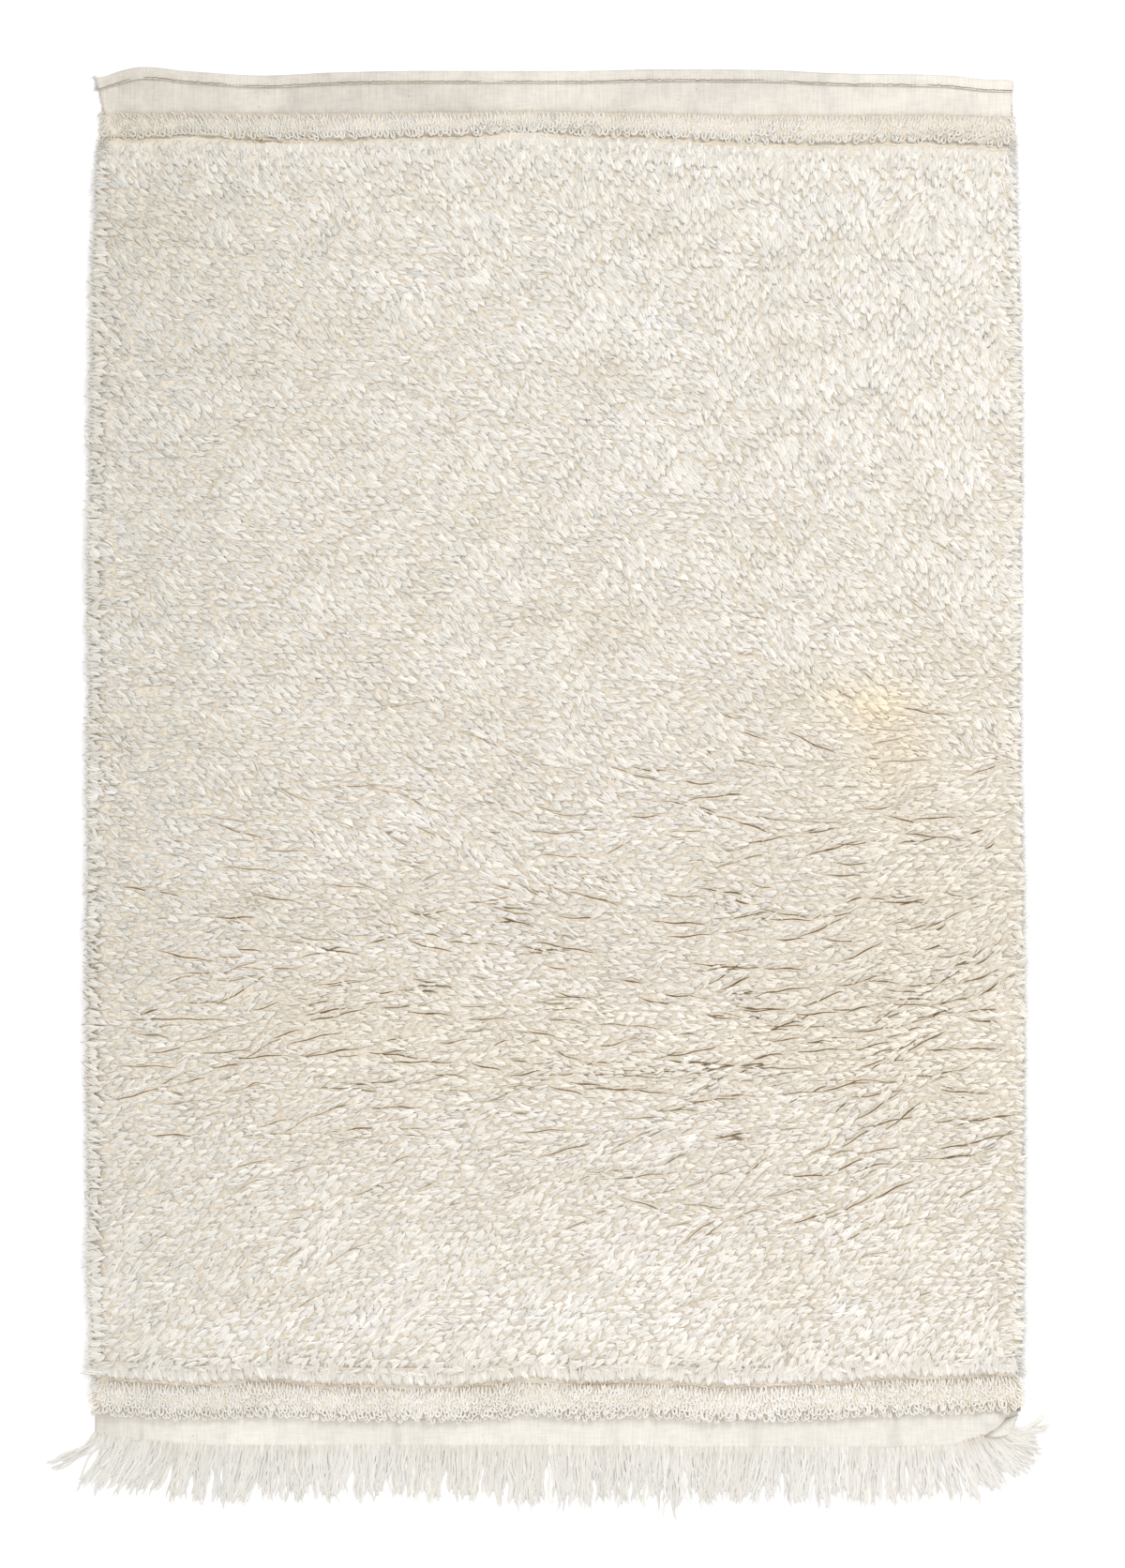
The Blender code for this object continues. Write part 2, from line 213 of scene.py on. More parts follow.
def crosswise(across, y, past=0.0):
    """X at a share of the width, between the two selvedges moved outwards by past."""
    along = 0.5 - y / CLOTH_LENGTH
    left = -HALF_WIDTH - LEFT_SIDE(along) * MM - past
    right = HALF_WIDTH + RIGHT_SIDE(along) * MM + past
    return left + (right - left) * across


def crosswise_share(x):
    """The share of the width at x, near enough for the lines that cross the rug."""
    return np.clip(x / (2 * HALF_WIDTH) + 0.5, 0, 1)


RUG_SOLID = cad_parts["rug"].data


def middle_in_frame():
    """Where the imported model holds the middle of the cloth, by its outline on the floor."""
    corners = np.array([v.co for v in RUG_SOLID.vertices])
    low = corners[corners[:, 2] < 0.1 * MM].min(0)
    left = -HALF_WIDTH - max(side.left for side in SIDES) * MM
    foot = foot_edge(np.linspace(0, 1, 201)).min()
    return np.array([low[0] - left, low[1] - foot, 0.0])


MIDDLE = middle_in_frame()
RUG_SURFACE = BVHTree.FromPolygons(
    [v.co for v in RUG_SOLID.vertices], [p.vertices for p in RUG_SOLID.polygons]
)


def solid_height(x, y):
    """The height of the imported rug's top at points given from the middle of the cloth."""
    down = Vector((0, 0, -1))
    heights = np.empty(len(x))
    for i, (px, py) in enumerate(zip(x + MIDDLE[0], y + MIDDLE[1])):
        hit = RUG_SURFACE.ray_cast(Vector((px, py, 0.2)), down)[0]
        heights[i] = hit.z if hit else 0.0
    return heights


def linear(hex_colour):
    """An sRGB hex colour as linear RGBA."""
    parts = [int(hex_colour[i : i + 2], 16) / 255 for i in (0, 2, 4)]
    curved = (c / 12.92 if c <= 0.04045 else ((c + 0.055) / 1.055) ** 2.4 for c in parts)
    return (*curved, 1.0)


# ---- sizes and colours a user would change ---------------------------------------------------


class RugSettings(bpy.types.PropertyGroup):
    lock_pitch: FloatProperty(
        name="Lock pitch", description="Lock to lock across the rug",
        default=15.0 * MM, unit="LENGTH",
    )
    row_pitch: FloatProperty(
        name="Row pitch", description="Knot row to knot row", default=10.0 * MM, unit="LENGTH"
    )
    strands: IntProperty(
        name="Strands", description="Strands in one lock of the field", default=4, min=1
    )
    strand_length: FloatProperty(
        name="Strand length", description="Length of a lying strand",
        default=21.0 * MM, unit="LENGTH",
    )
    strand_width: FloatProperty(
        name="Strand width", description="Width of a strand", default=4.2 * MM, unit="LENGTH"
    )
    loop_pitch: FloatProperty(
        name="Loop pitch", description="Loop to loop in the end bands",
        default=6.0 * MM, unit="LENGTH",
    )
    loop_yarn: FloatProperty(
        name="Loop yarn", description="Width of the end bands' yarn",
        default=3.3 * MM, unit="LENGTH",
    )
    warp_ends: IntProperty(
        name="Warp ends", description="Warp ends left long at the foot", default=800, min=2
    )
    warp_yarn: FloatProperty(
        name="Warp yarn", description="Width of one warp end", default=3.5 * MM, unit="LENGTH"
    )
    wool: FloatVectorProperty(
        name="Wool", description="Tops of the pile",
        subtype="COLOR", default=linear("E9E7E2")[:3],
    )
    # Painted shade: the colour of the strands' sides, in the crevices between them.
    crevice: FloatVectorProperty(
        name="Crevice", description="Sides of the strands",
        subtype="COLOR", default=linear("D9D2C7")[:3],
    )
    # Painted shade, with some soil: the colour at the foot of the pile and in its deepest gaps.
    depths: FloatVectorProperty(
        name="Depths", description="Foot of the pile",
        subtype="COLOR", default=linear("8A765A")[:3],
    )
    cloth: FloatVectorProperty(
        name="Cloth", description="The flat weave",
        subtype="COLOR", default=linear("E8E4DC")[:3],
    )
    seed: IntProperty(
        name="Seed", description="Changes every stray and length", default=7
    )


def settings():
    return bpy.context.scene.tulu_rug


# ---- helpers -----------------------------------------------------------------------------


def add_node(tree, kind, inputs=None, **attributes):
    """Adds a node. inputs maps its sockets to values, or to sockets that are linked to them."""
    node = tree.nodes.new(kind)
    for name, value in attributes.items():
        setattr(node, name, value)
    for name, value in (inputs or {}).items():
        if isinstance(value, bpy.types.NodeSocket):
            tree.links.new(value, node.inputs[name])
        else:
            node.inputs[name].default_value = value
    return node


def new_material(name, roughness, sheen=0.0):
    """A rough, dull dielectric, as undyed wool and paint are, with a faint sheen at most."""
    material = bpy.data.materials.new(name)
    material.use_nodes = True
    shader = material.node_tree.nodes["Principled BSDF"]
    shader.inputs["Roughness"].default_value = roughness
    shader.inputs["Specular IOR Level"].default_value = 0.12
    shader.inputs["Sheen Weight"].default_value = sheen
    shader.inputs["Sheen Roughness"].default_value = 0.5
    return material, material.node_tree, shader


def link_object(name, mesh, material):
    """Makes an object of a mesh, all of one material."""
    mesh.materials.append(material)
    made = bpy.data.objects.new(name, mesh)
    bpy.context.scene.collection.objects.link(made)
    return made


def finish_piece(piece, slot="wool_pile", node="rug"):
    """Attaches the piece to what carries it and hides the solid it stands for. Its slot, for the
    finish, is not used.
    """
    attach(piece, "root")
    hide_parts(node)


# Cross-sections of a yarn, as shares of half its width and half its height, from the ridge round
# by the right.
YARN_SECTION = ((0, 1), (-0.87, -0.5), (0.87, -0.5))
CORD_SECTION = ((0, 1), (-1, 0), (0, -1), (1, 0))


def tube_rings(centres, width, height, section):
    """Rings of points round many centre lines at once.

    centres is (count, steps, 3), and width and height are the yarn's at each step.
    """
    ahead = np.gradient(centres, axis=1)
    sideways = np.stack([-ahead[..., 1], ahead[..., 0], np.zeros(ahead.shape[:2])], -1)
    sideways /= np.linalg.norm(sideways, axis=2, keepdims=True) + 1e-12
    upwards = np.cross(ahead, sideways)
    upwards /= np.linalg.norm(upwards, axis=2, keepdims=True) + 1e-12
    section = np.array(section, float)
    across = section[None, None, :, 0, None] * width[..., None, None] / 2
    rise = section[None, None, :, 1, None] * height[..., None, None] / 2
    return centres[:, :, None] + across * sideways[:, :, None] + rise * upwards[:, :, None]


def tube_layout(steps, sides, pointed):
    """One tube's faces. Each is a list of its corners as (step, side, share of the way round)."""
    first, last = (1, steps - 2) if pointed else (0, steps - 1)
    faces = []
    for side in range(sides):
        start, end = side / sides, (side + 1) / sides
        for step in range(first, last):
            near = [(step, side, start), (step, side + 1, end)]
            faces.append(near + [(step + 1, side + 1, end), (step + 1, side, start)])
        if pointed:
            faces.append([(0, 0, start), (first, side + 1, end), (first, side, start)])
            faces.append([(last + 1, 0, start), (last, side, start), (last, side + 1, end)])
    if not pointed:
        faces.append([(first, side, side / sides) for side in reversed(range(sides))])
        faces.append([(last, side, side / sides) for side in range(sides)])
    return faces


def joined_tubes(name, rings, attributes, material, pointed=True, smooth=False):
    """One mesh of many closed tubes. rings is (count, steps, sides, 3).

    A pointed tube's first and last rings are drawn in to points, and a smooth one is shaded as
    round. attributes maps a name to an array of numbers or colours that has those first three
    sizes, or ones. The UV map runs along each yarn in millimetres, and once round it.
    """
    count, steps, sides = rings.shape[:3]
    middles = rings.mean(2)
    layout = tube_layout(steps, sides, pointed)
    step, side, share = np.array([corner for face in layout for corner in face]).T
    step = step.astype(int)
    side = side.astype(int) % sides
    used, local = np.unique(step * sides + side, return_inverse=True)
    if pointed:
        rings = rings.copy()
        rings[:, [0, -1]] = middles[:, [0, -1], None]
    corner_vertices = (local + len(used) * np.arange(count)[:, None]).ravel()
    totals = np.tile([len(face) for face in layout], count)
    mesh = bpy.data.meshes.new(name)
    mesh.vertices.add(count * len(used))
    points = rings.reshape(count, steps * sides, 3)[:, used] + MIDDLE
    mesh.vertices.foreach_set("co", points.astype(np.float32).ravel())
    mesh.loops.add(len(corner_vertices))
    mesh.loops.foreach_set("vertex_index", corner_vertices.astype(np.int32))
    mesh.polygons.add(len(totals))
    starts = np.concatenate([[0], np.cumsum(totals)[:-1]])
    mesh.polygons.foreach_set("loop_start", starts.astype(np.int32))
    mesh.polygons.foreach_set("use_smooth", np.full(len(totals), smooth))
    mesh.update(calc_edges=True)
    for label, values in attributes.items():
        one_number = values.ndim == 3
        values = values[..., None] if one_number else values
        values = np.broadcast_to(values, (count, steps, sides, values.shape[-1]))
        values = values.reshape(count, steps * sides, -1)[:, used]
        if one_number:
            layer = mesh.attributes.new(label, "FLOAT", "POINT")
            layer.data.foreach_set("value", values.astype(np.float32).ravel())
        else:
            layer = mesh.attributes.new(label, "FLOAT_COLOR", "POINT")
            opaque = np.concatenate([values, np.ones(values.shape[:-1] + (1,))], -1)
            layer.data.foreach_set("color", opaque.astype(np.float32).ravel())
    run = np.linalg.norm(np.diff(middles, axis=1), axis=2).cumsum(1) / MM
    run = np.concatenate([np.zeros((count, 1)), run], 1)
    # Each yarn starts at another place in the pattern.
    run += 97.3 * np.arange(count)[:, None] % 1000
    uv = np.stack([run[:, step].ravel(), np.tile(share, count)], 1)
    mesh.uv_layers.new(name="UVMap").data.foreach_set("uv", uv.astype(np.float32).ravel())
    mesh.validate()
    return link_object(name, mesh, material)


def add_yarns(name, rings, shade, tint, material, smooth=False, **finish):
    """Adds a piece of many pointed yarns. tint holds a colour for each yarn, or more."""
    tint = tint[:, None, None] if tint.ndim == 2 else tint
    attributes = {"shade": shade, "tint": tint}
    finish_piece(joined_tubes(name, rings, attributes, material, smooth=smooth), **finish)


def add_sheet(name, columns, rows, place, material, thickness, offset=-1, attributes=None):
    """Adds a sheet. place gives its points, from their shares across and down.

    Its thickness is all below the points at an offset of -1, and half to each side at 0.
    attributes gives a dictionary of arrays of numbers, from the points.
    """
    bm = bmesh.new()
    bmesh.ops.create_grid(bm, x_segments=columns, y_segments=rows, size=0.5)
    corners = np.array([v.co for v in bm.verts])
    points = place(corners[:, 0] + 0.5, 0.5 - corners[:, 1])
    for vert, co in zip(bm.verts, points + MIDDLE):
        vert.co = co
    for face in bm.faces:
        face.smooth = True
    mesh = bpy.data.meshes.new(name)
    bm.to_mesh(mesh)
    bm.free()
    for label, values in (attributes(points) if attributes else {}).items():
        layer = mesh.attributes.new(label, "FLOAT", "POINT")
        layer.data.foreach_set("value", values.astype(np.float32))
    piece = link_object(name, mesh, material)
    solid = piece.modifiers.new("thickness", "SOLIDIFY")
    solid.thickness = thickness
    solid.offset = offset
    finish_piece(piece)


def smooth_noise(x, y, size, layer):
    """Blender's noise at many points, for patches about as large as size. Each layer differs."""
    points = zip(np.asarray(x).ravel() / size, np.asarray(y).ravel() / size)
    values = [noise.noise(Vector((px, py, layer))) for px, py in points]
    return np.array(values).reshape(np.shape(x))


def walk(start, heading, strides):
    """Points reached from start by strides in the headings, which are (count, steps) arrays."""
    steps = np.stack([np.cos(heading), np.sin(heading)], -1) * strides[..., None]
    return start[:, None] + np.concatenate([np.zeros((len(start), 1, 2)), steps.cumsum(1)], 1)


def with_height(path, z):
    """Points on the floor, raised to z. They are (count, steps, 2)."""
    return np.concatenate([path, np.broadcast_to(z, path.shape[:2])[..., None]], -1)


# A strand at its root's point, in two rings and at its tip's point: how far along it each is, and
# its share of the full width. A strand's height is a share of its width.
STATIONS = np.array([0, 0.34, 0.80, 1.0])
STRAND_GIRTH = np.array([0.3, 1.0, 0.92, 0.3])
STRAND_FLATNESS = 0.62


def strand_rings(middles, rise, heading, length, width, bend):
    """Rings of strands that rise out of the pile, run flat and end in a point."""
    turn = heading[:, None] + bend[:, None] * (STATIONS - 0.5)[None]
    turn = (turn[:, 1:] + turn[:, :-1]) / 2
    path = walk(middles, turn, np.diff(STATIONS)[None] * length[:, None])
    path += (middles - path.mean(1))[:, None]
    widths = width[:, None] * STRAND_GIRTH[None]
    rings = tube_rings(with_height(path, rise), widths, STRAND_FLATNESS * widths, YARN_SECTION)
    rings[..., 2] = np.maximum(rings[..., 2], 0.3 * MM)
    return rings


def yarn_shade(along, faces):
    """How light a yarn is painted, for painted shade: at each step along it, times on its ridge,
    its right and its left.
    """
    return np.array(along)[None, :, None] * np.array(faces)[None, None]


def lock_sides(place, inside, outside):
    """How light the faces of a lock's strands are painted, for painted shade: its own two sides
    are as light as outside.
    """
    sides = np.ones((len(place), 1, 3))
    sides[:, 0, 1] = np.where(place == place.min(), outside, inside)
    sides[:, 0, 2] = np.where(place == place.max(), outside, inside)
    return sides


# ---- colour over the whole rug ---------------------------------------------------------------

# Worn and soiled patches, and patches of painted shade and light. across and along are shares of
# the cloth, wide and long their sizes in millimetres, and the colour is what the wool is
# multiplied by in the middle of the patch.
Patch = namedtuple("Patch", "across along wide long colour")
PATCHES = (
    Patch(0.845, 0.460, 92, 58, (1.13, 1.075, 0.945)),
    Patch(0.868, 0.494, 78, 72, (1.02, 0.980, 0.90)),
    Patch(0.90, 0.60, 300, 520, (1.005, 0.995, 0.965)),
    Patch(0.50, 0.705, 1500, 120, (1.035, 1.03, 1.01)),
    # Painted shade: the left of the pile is painted greyer, most of all at its head.
    Patch(0.02, 0.10, 500, 400, (0.955, 0.95, 0.935)),
    Patch(0.02, 0.50, 300, 1700, (0.935, 0.945, 0.95)),
    # Painted light: the lower right of the pile is painted lighter.
    Patch(0.75, 0.88, 700, 260, (1.02, 1.02, 1.02)),
)


def wool_tint(x, y):
    """What the wool's colour is multiplied by at each point, for its hanks, wear and stains, and
    for painted light and shade.
    """
    across = x / (2 * HALF_WIDTH) + 0.5
    along = 0.5 - y / CLOTH_LENGTH
    # Hanks of undyed wool differ a little, in bands across the rug and in blotches.
    bands = smooth_noise(x * 0.25, y, 55 * MM, 3.0) + 0.6 * smooth_noise(x * 0.4, y, 21 * MM, 8.0)
    blotches = smooth_noise(x, y * 1.6, 120 * MM, 14.0)
    shade = 0.036 * bands + 0.026 * blotches
    tint = 1 + shade[..., None] * np.array([0.8, 1.0, 1.7])
    # Painted light and shade: the pile is painted lighter towards the right and the foot, and
    # darker towards the head and the left.
    lighter = 0.06 * (across - 0.5) + 0.085 * (along - 0.5)
    tint = tint * (1 + lighter[..., None] * np.array([1.0, 1.0, 1.1]))
    for patch in PATCHES:
        off = (across - patch.across) * 2 * HALF_WIDTH / (patch.wide * MM)
        down = (along - patch.along) * CLOTH_LENGTH / (patch.long * MM)
        weight = np.exp(-2.5 * (off**2 + down**2))[..., None]
        tint = tint * (1 + weight * (np.array(patch.colour) - 1))
    return tint


# ---- materials -----------------------------------------------------------------------------

# Settings of a Mix node that mixes two colours, and of one that multiplies them.
COLOUR = {"data_type": "RGBA"}
TIMES = {"data_type": "RGBA", "blend_type": "MULTIPLY"}
# A wave texture's bands repeat every tau / 20 of its coordinate, and its diagonal ones every
# tau / 10, so these over a pitch give its scale.
BANDS = math.tau / 20
DIAGONALS = math.tau / 10


def spun_wool(name, strand_count, strand_length, depth, contrast):
    """Undyed hand-spun wool: matt, softly fuzzy, in fine fibres, with painted shade, tan to
    brown, in its depths.

    strand_count is how many fibres show round a yarn, strand_length how long each is in
    millimetres, and depth how deep they are in metres. The fibres are far fewer and coarser than
    real ones, which would not show.
    """
    material, tree, shader = new_material(name, roughness=0.95, sheen=0.02)
    shade = add_node(tree, "ShaderNodeAttribute", attribute_name="shade").outputs["Fac"]
    tint = add_node(tree, "ShaderNodeAttribute", attribute_name="tint").outputs["Color"]
    # The shade attribute paints shade: it mixes the depths' colour, the crevice's and the wool's.
    ramp = add_node(tree, "ShaderNodeValToRGB", {"Fac": shade})
    ramp.color_ramp.elements.new(0.4)
    for stop, colour in zip(ramp.color_ramp.elements, ("depths", "crevice", "wool")):
        stop.color = tuple(getattr(settings(), colour)) + (1,)
    body = add_node(
        tree, "ShaderNodeMix", {"Factor": 1.0, "A": ramp.outputs["Color"], "B": tint}, **TIMES
    )
    uv = add_node(tree, "ShaderNodeUVMap", uv_map="UVMap").outputs["UV"]
    stretched = add_node(
        tree,
        "ShaderNodeVectorMath",
        {0: uv, 1: (1 / strand_length, strand_count, 1.0)},
        operation="MULTIPLY",
    )
    fibres = add_node(
        tree,
        "ShaderNodeTexNoise",
        {"Vector": stretched.outputs[0], "Scale": 1.0, "Detail": 1.5, "Roughness": 0.55},
    ).outputs["Fac"]
    streak = add_node(
        tree,
        "ShaderNodeMapRange",
        {"Value": fibres, "From Min": 0.3, "From Max": 0.62, "To Min": 1 - contrast},
    ).outputs["Result"]
    body = add_node(
        tree, "ShaderNodeMix", {"Factor": 1.0, "A": body.outputs["Result"], "B": streak}, **TIMES
    )
    bump = add_node(
        tree, "ShaderNodeBump", {"Height": fibres, "Distance": depth, "Strength": 1.0}
    )
    tree.links.new(bump.outputs["Normal"], shader.inputs["Normal"])
    tree.links.new(body.outputs["Result"], shader.inputs["Base Color"])
    return material


# Warp rib to warp rib. It is twice the real weave's, because finer ribs don't show.
RIB_PITCH = 5.2 * MM
# How many cells of the weave's grain there are in a metre across and along the rug, and its
# detail. The warp's cells are 2.6 by 38 mm, and the weft's slubs 22 by 3 mm.
GRAINS = (((380.0, 26.0, 1.0), 3.0), ((45.0, 330.0, 1.0), 2.0))
# Thirty mottles, five clouded patches and 42 slubs stand in a metre: 33, 200 and 24 mm each.
MOTTLES = 30.0
CLOUDS = 5.0
SPECKS = 42.0


def flat_weave():
    """Weft-faced plain weave of undyed yarn: dull and pale, with soft ribs, slubs, soil and
    painted shade.
    """
    material, tree, shader = new_material("flat_weave", roughness=0.88, sheen=0.1)
    place = add_node(tree, "ShaderNodeTexCoord").outputs["Object"]
    ribs = add_node(
        tree,
        "ShaderNodeTexWave",
        {"Vector": place, "Scale": BANDS / RIB_PITCH, "Distortion": 1.5},
        wave_type="BANDS",
        bands_direction="X",
    ).outputs["Fac"]
    grain = []
    for stretch, detail in GRAINS:
        stretched = add_node(
            tree, "ShaderNodeVectorMath", {0: place, 1: stretch}, operation="MULTIPLY"
        ).outputs[0]
        cells = add_node(
            tree, "ShaderNodeTexNoise", {"Vector": stretched, "Scale": 1.0, "Detail": detail}
        )
        grain.append(cells.outputs["Fac"])
    mottle = add_node(
        tree,
        "ShaderNodeTexNoise",
        {"Vector": place, "Scale": MOTTLES, "Detail": 6.0, "Roughness": 0.7},
    ).outputs["Fac"]
    wash = add_node(
        tree, "ShaderNodeTexNoise", {"Vector": place, "Scale": CLOUDS, "Detail": 3.0}
    ).outputs["Fac"]
    specks = add_node(tree, "ShaderNodeTexVoronoi", {"Vector": place, "Scale": SPECKS}).outputs
    # The cloth's attribute darkens it towards brown, for soil and for painted shade.
    soil = add_node(tree, "ShaderNodeAttribute", attribute_name="soil").outputs["Fac"]
    lighter, soiled_and_shaded = tuple(settings().cloth) + (1,), linear("7A6240")
    body = add_node(tree, "ShaderNodeMix", {"Factor": soil, "A": lighter, "B": soiled_and_shaded}, **COLOUR)
    # The more soil and painted shade there is, the darker the mottles and the clouds are.
    mottle_darkest = add_node(
        tree, "ShaderNodeMath", {0: soil, 1: -0.4, 2: 0.94}, operation="MULTIPLY_ADD"
    ).outputs["Value"]
    # Each pattern leaves the cloth as it is at its high end, and darkens it at its low one.
    for value, darkest, low_end, high_end in (
        (grain[0], 0.92, 0.35, 0.6),
        (grain[1], 0.94, 0.35, 0.6),
        (mottle, mottle_darkest, 0.33, 0.56),
        (wash, mottle_darkest, 0.38, 0.6),
        (specks["Distance"], 0.70, 0.03, 0.07),
    ):
        factor = add_node(
            tree,
            "ShaderNodeMapRange",
            {"Value": value, "From Min": low_end, "From Max": high_end, "To Min": darkest},
        ).outputs["Result"]
        body = add_node(
            tree,
            "ShaderNodeMix",
            {"Factor": 1.0, "A": body.outputs["Result"], "B": factor},
            **TIMES,
        )
    height = add_node(
        tree, "ShaderNodeMath", {0: ribs, 1: 0.5, 2: grain[0]}, operation="MULTIPLY_ADD"
    ).outputs["Value"]
    height = add_node(
        tree, "ShaderNodeMath", {0: mottle, 1: 1.5, 2: height}, operation="MULTIPLY_ADD"
    )
    bump = add_node(
        tree,
        "ShaderNodeBump",
        {"Height": height.outputs[0], "Distance": 0.6 * MM, "Strength": 0.8},
    )
    tree.links.new(bump.outputs["Normal"], shader.inputs["Normal"])
    tree.links.new(body.outputs["Result"], shader.inputs["Base Color"])
    return material


def root_wool(name, dark, light, coarseness):
    """Matted wool at the foot of the pile: tan where locks are rooted, cream where worn smooth.

    coarseness is how large its matted lumps are.
    """
    material, tree, shader = new_material(name, roughness=0.95)
    place = add_node(tree, "ShaderNodeTexCoord").outputs["Object"]
    matting = add_node(
        tree, "ShaderNodeTexNoise", {"Vector": place, "Scale": 1 / coarseness, "Detail": 2.0}
    ).outputs["Fac"]
    depth = add_node(
        tree, "ShaderNodeMapRange", {"Value": matting, "From Min": 0.3, "From Max": 0.6}
    ).outputs["Result"]
    low, high = linear(dark), linear(light)
    body = add_node(tree, "ShaderNodeMix", {"Factor": depth, "A": low, "B": high}, **COLOUR)
    bump = add_node(
        tree,
        "ShaderNodeBump",
        {"Height": matting, "Distance": 0.3 * coarseness, "Strength": 1.0},
    )
    tree.links.new(bump.outputs["Normal"], shader.inputs["Normal"])
    tree.links.new(body.outputs["Result"], shader.inputs["Base Color"])
    return material


# ---- the stage ---------------------------------------------------------------------------

# The floor's half width, and how far it is under the rug, so that the two don't share a surface.
FLOOR_HALF = 6.0
FLOOR_DROP = 0.2 * MM
# Soft boxes: name, place, size and power. The key is over the head's right, the fill over the
# foot's left.
LAMPS = (("key", (2.4, 3.0, 4.2), 2.2, 110.0), ("fill", (-2.6, -1.4, 3.6), 2.4, 34.0))
# How far the view's middle is from the cloth's, to the right and towards the fringe, how high the
# camera is, and how much of the floor it takes in along the rug.
VIEW_ASIDE = 11 * MM
VIEW_BELOW = 32 * MM
VIEW_HEIGHT = 7.0
VIEW_LENGTH = 2.09
SENSOR = 36


class RUG_OT_stage(bpy.types.Operator):
    """Adds a pale floor, soft studio light and a camera straight above the rug"""

    bl_idname = "rug.stage"
    bl_label = "Stage"

    def execute(self, context):
        scene = context.scene
        bm = bmesh.new()
        bmesh.ops.create_grid(bm, x_segments=1, y_segments=1, size=FLOOR_HALF)
        bmesh.ops.translate(bm, verts=bm.verts, vec=(0, 0, -FLOOR_DROP))
        mesh = bpy.data.meshes.new("floor")
        bm.to_mesh(mesh)
        bm.free()
        # Matt white paint, on which only the rug's own soft shade shows.
        material, _, shader = new_material("painted_floor", roughness=0.95)
        shader.inputs["Base Color"].default_value = linear("FDFDFD")
        link_object("floor", mesh, material)

        world = bpy.data.worlds.new("studio")
        world.use_nodes = True
        background = world.node_tree.nodes["Background"]
        background.inputs["Color"].default_value = (1.0, 0.995, 0.985, 1)
        background.inputs["Strength"].default_value = 1.0
        scene.world = world
        for name, place, size, power in LAMPS:
            light = bpy.data.lights.new(name, "AREA")
            light.size = size
            light.energy = power
            lamp = bpy.data.objects.new(name, light)
            lamp.location = place
            lamp.rotation_euler = (-Vector(place)).to_track_quat("-Z", "Y").to_euler()
            scene.collection.objects.link(lamp)

        camera = bpy.data.cameras.new("camera")
        camera.sensor_width = SENSOR
        camera.lens = SENSOR * VIEW_HEIGHT / VIEW_LENGTH
        camera.clip_end = 50
        eye = bpy.data.objects.new("camera", camera)
        eye.location = (MIDDLE[0] + VIEW_ASIDE, MIDDLE[1] - VIEW_BELOW, VIEW_HEIGHT)
        scene.collection.objects.link(eye)
        scene.camera = eye
        scene.view_settings.view_transform = "Standard"
        return {"FINISHED"}


# ---- the cloth -----------------------------------------------------------------------------

# Creases that run along the rug in the bare cloth at its ends. across is a share of the width,
# wide and high are in millimetres, and end is 1 at the head and -1 at the foot.
Crease = namedtuple("Crease", "across end wide high")
CREASES = (
    Crease(0.045, 1, 9, 1.6),
    Crease(0.075, 1, 6, -1.0),
    Crease(0.15, 1, 14, 0.8),
    Crease(0.27, 1, 10, -0.8),
    Crease(0.43, 1, 16, 1.2),
    Crease(0.58, 1, 12, -0.7),
    Crease(0.74, 1, 16, 0.9),
    Crease(0.90, 1, 12, 0.8),
    Crease(0.045, -1, 7, 1.6),
    Crease(0.13, -1, 14, 0.8),
    Crease(0.32, -1, 12, -0.8),
    Crease(0.55, -1, 16, 0.9),
    Crease(0.71, -1, 12, -0.7),
    Crease(0.86, -1, 14, 0.8),
)
# Where the corner at the foot's right is pinched up: its share of the width, how far it is from
# the foot edge, and how wide and high it stands.
PINCH_ACROSS = 0.972
PINCH_INSET = 24 * MM
PINCH_RADIUS = 24 * MM
PINCH_HEIGHT = 9 * MM
# The slit between the hem and the cloth it is rolled over on to.
HEM_SLIT = 0.4 * MM
# The cloth's creases begin so far inside its two ends, and are full after so much more.
CREASED = 90 * MM
CREASES_FADE = 40 * MM


def pinch(x, y):
    """How far the pinched corner lifts the cloth."""
    middle_y = foot_edge(PINCH_ACROSS) + PINCH_INSET
    middle_x = crosswise(PINCH_ACROSS, middle_y)
    away = np.hypot(x - middle_x, y - middle_y) / PINCH_RADIUS
    return PINCH_HEIGHT * np.cos(np.minimum(away, 1) * math.pi / 2) ** 2


def cloth_unevenness(across, x, y):
    """The creases and slight waves of the cloth where nothing is knotted into it."""
    end = np.sign(y)
    # The foot's end lies flatter than the head's.
    calm = np.where(end > 0, 1.0, 0.5)
    rise = 0.5 * MM * smooth_noise(x, y * 0.6, 45 * MM, 31.0)
    rise = rise + 0.25 * MM * smooth_noise(x, y * 0.5, 12 * MM, 33.0)
    for crease in CREASES:
        off = (across - crease.across) * 2 * HALF_WIDTH / (crease.wide * MM)
        rise = rise + crease.high * MM * np.exp(-(off**2)) * (end == crease.end)
    return rise * calm


# The grid's rows at the lines that cross the cloth, from its foot edge to where its head turns
# over, at the end of that turn, and at the inner edge of the hem. It has so many columns.
LINE_ROWS = (0, 9, 12, 14, 20, 24, 27, 41)
TURNED_ROW = 47
CUT_ROWS = 56
CLOTH_COLUMNS = 300


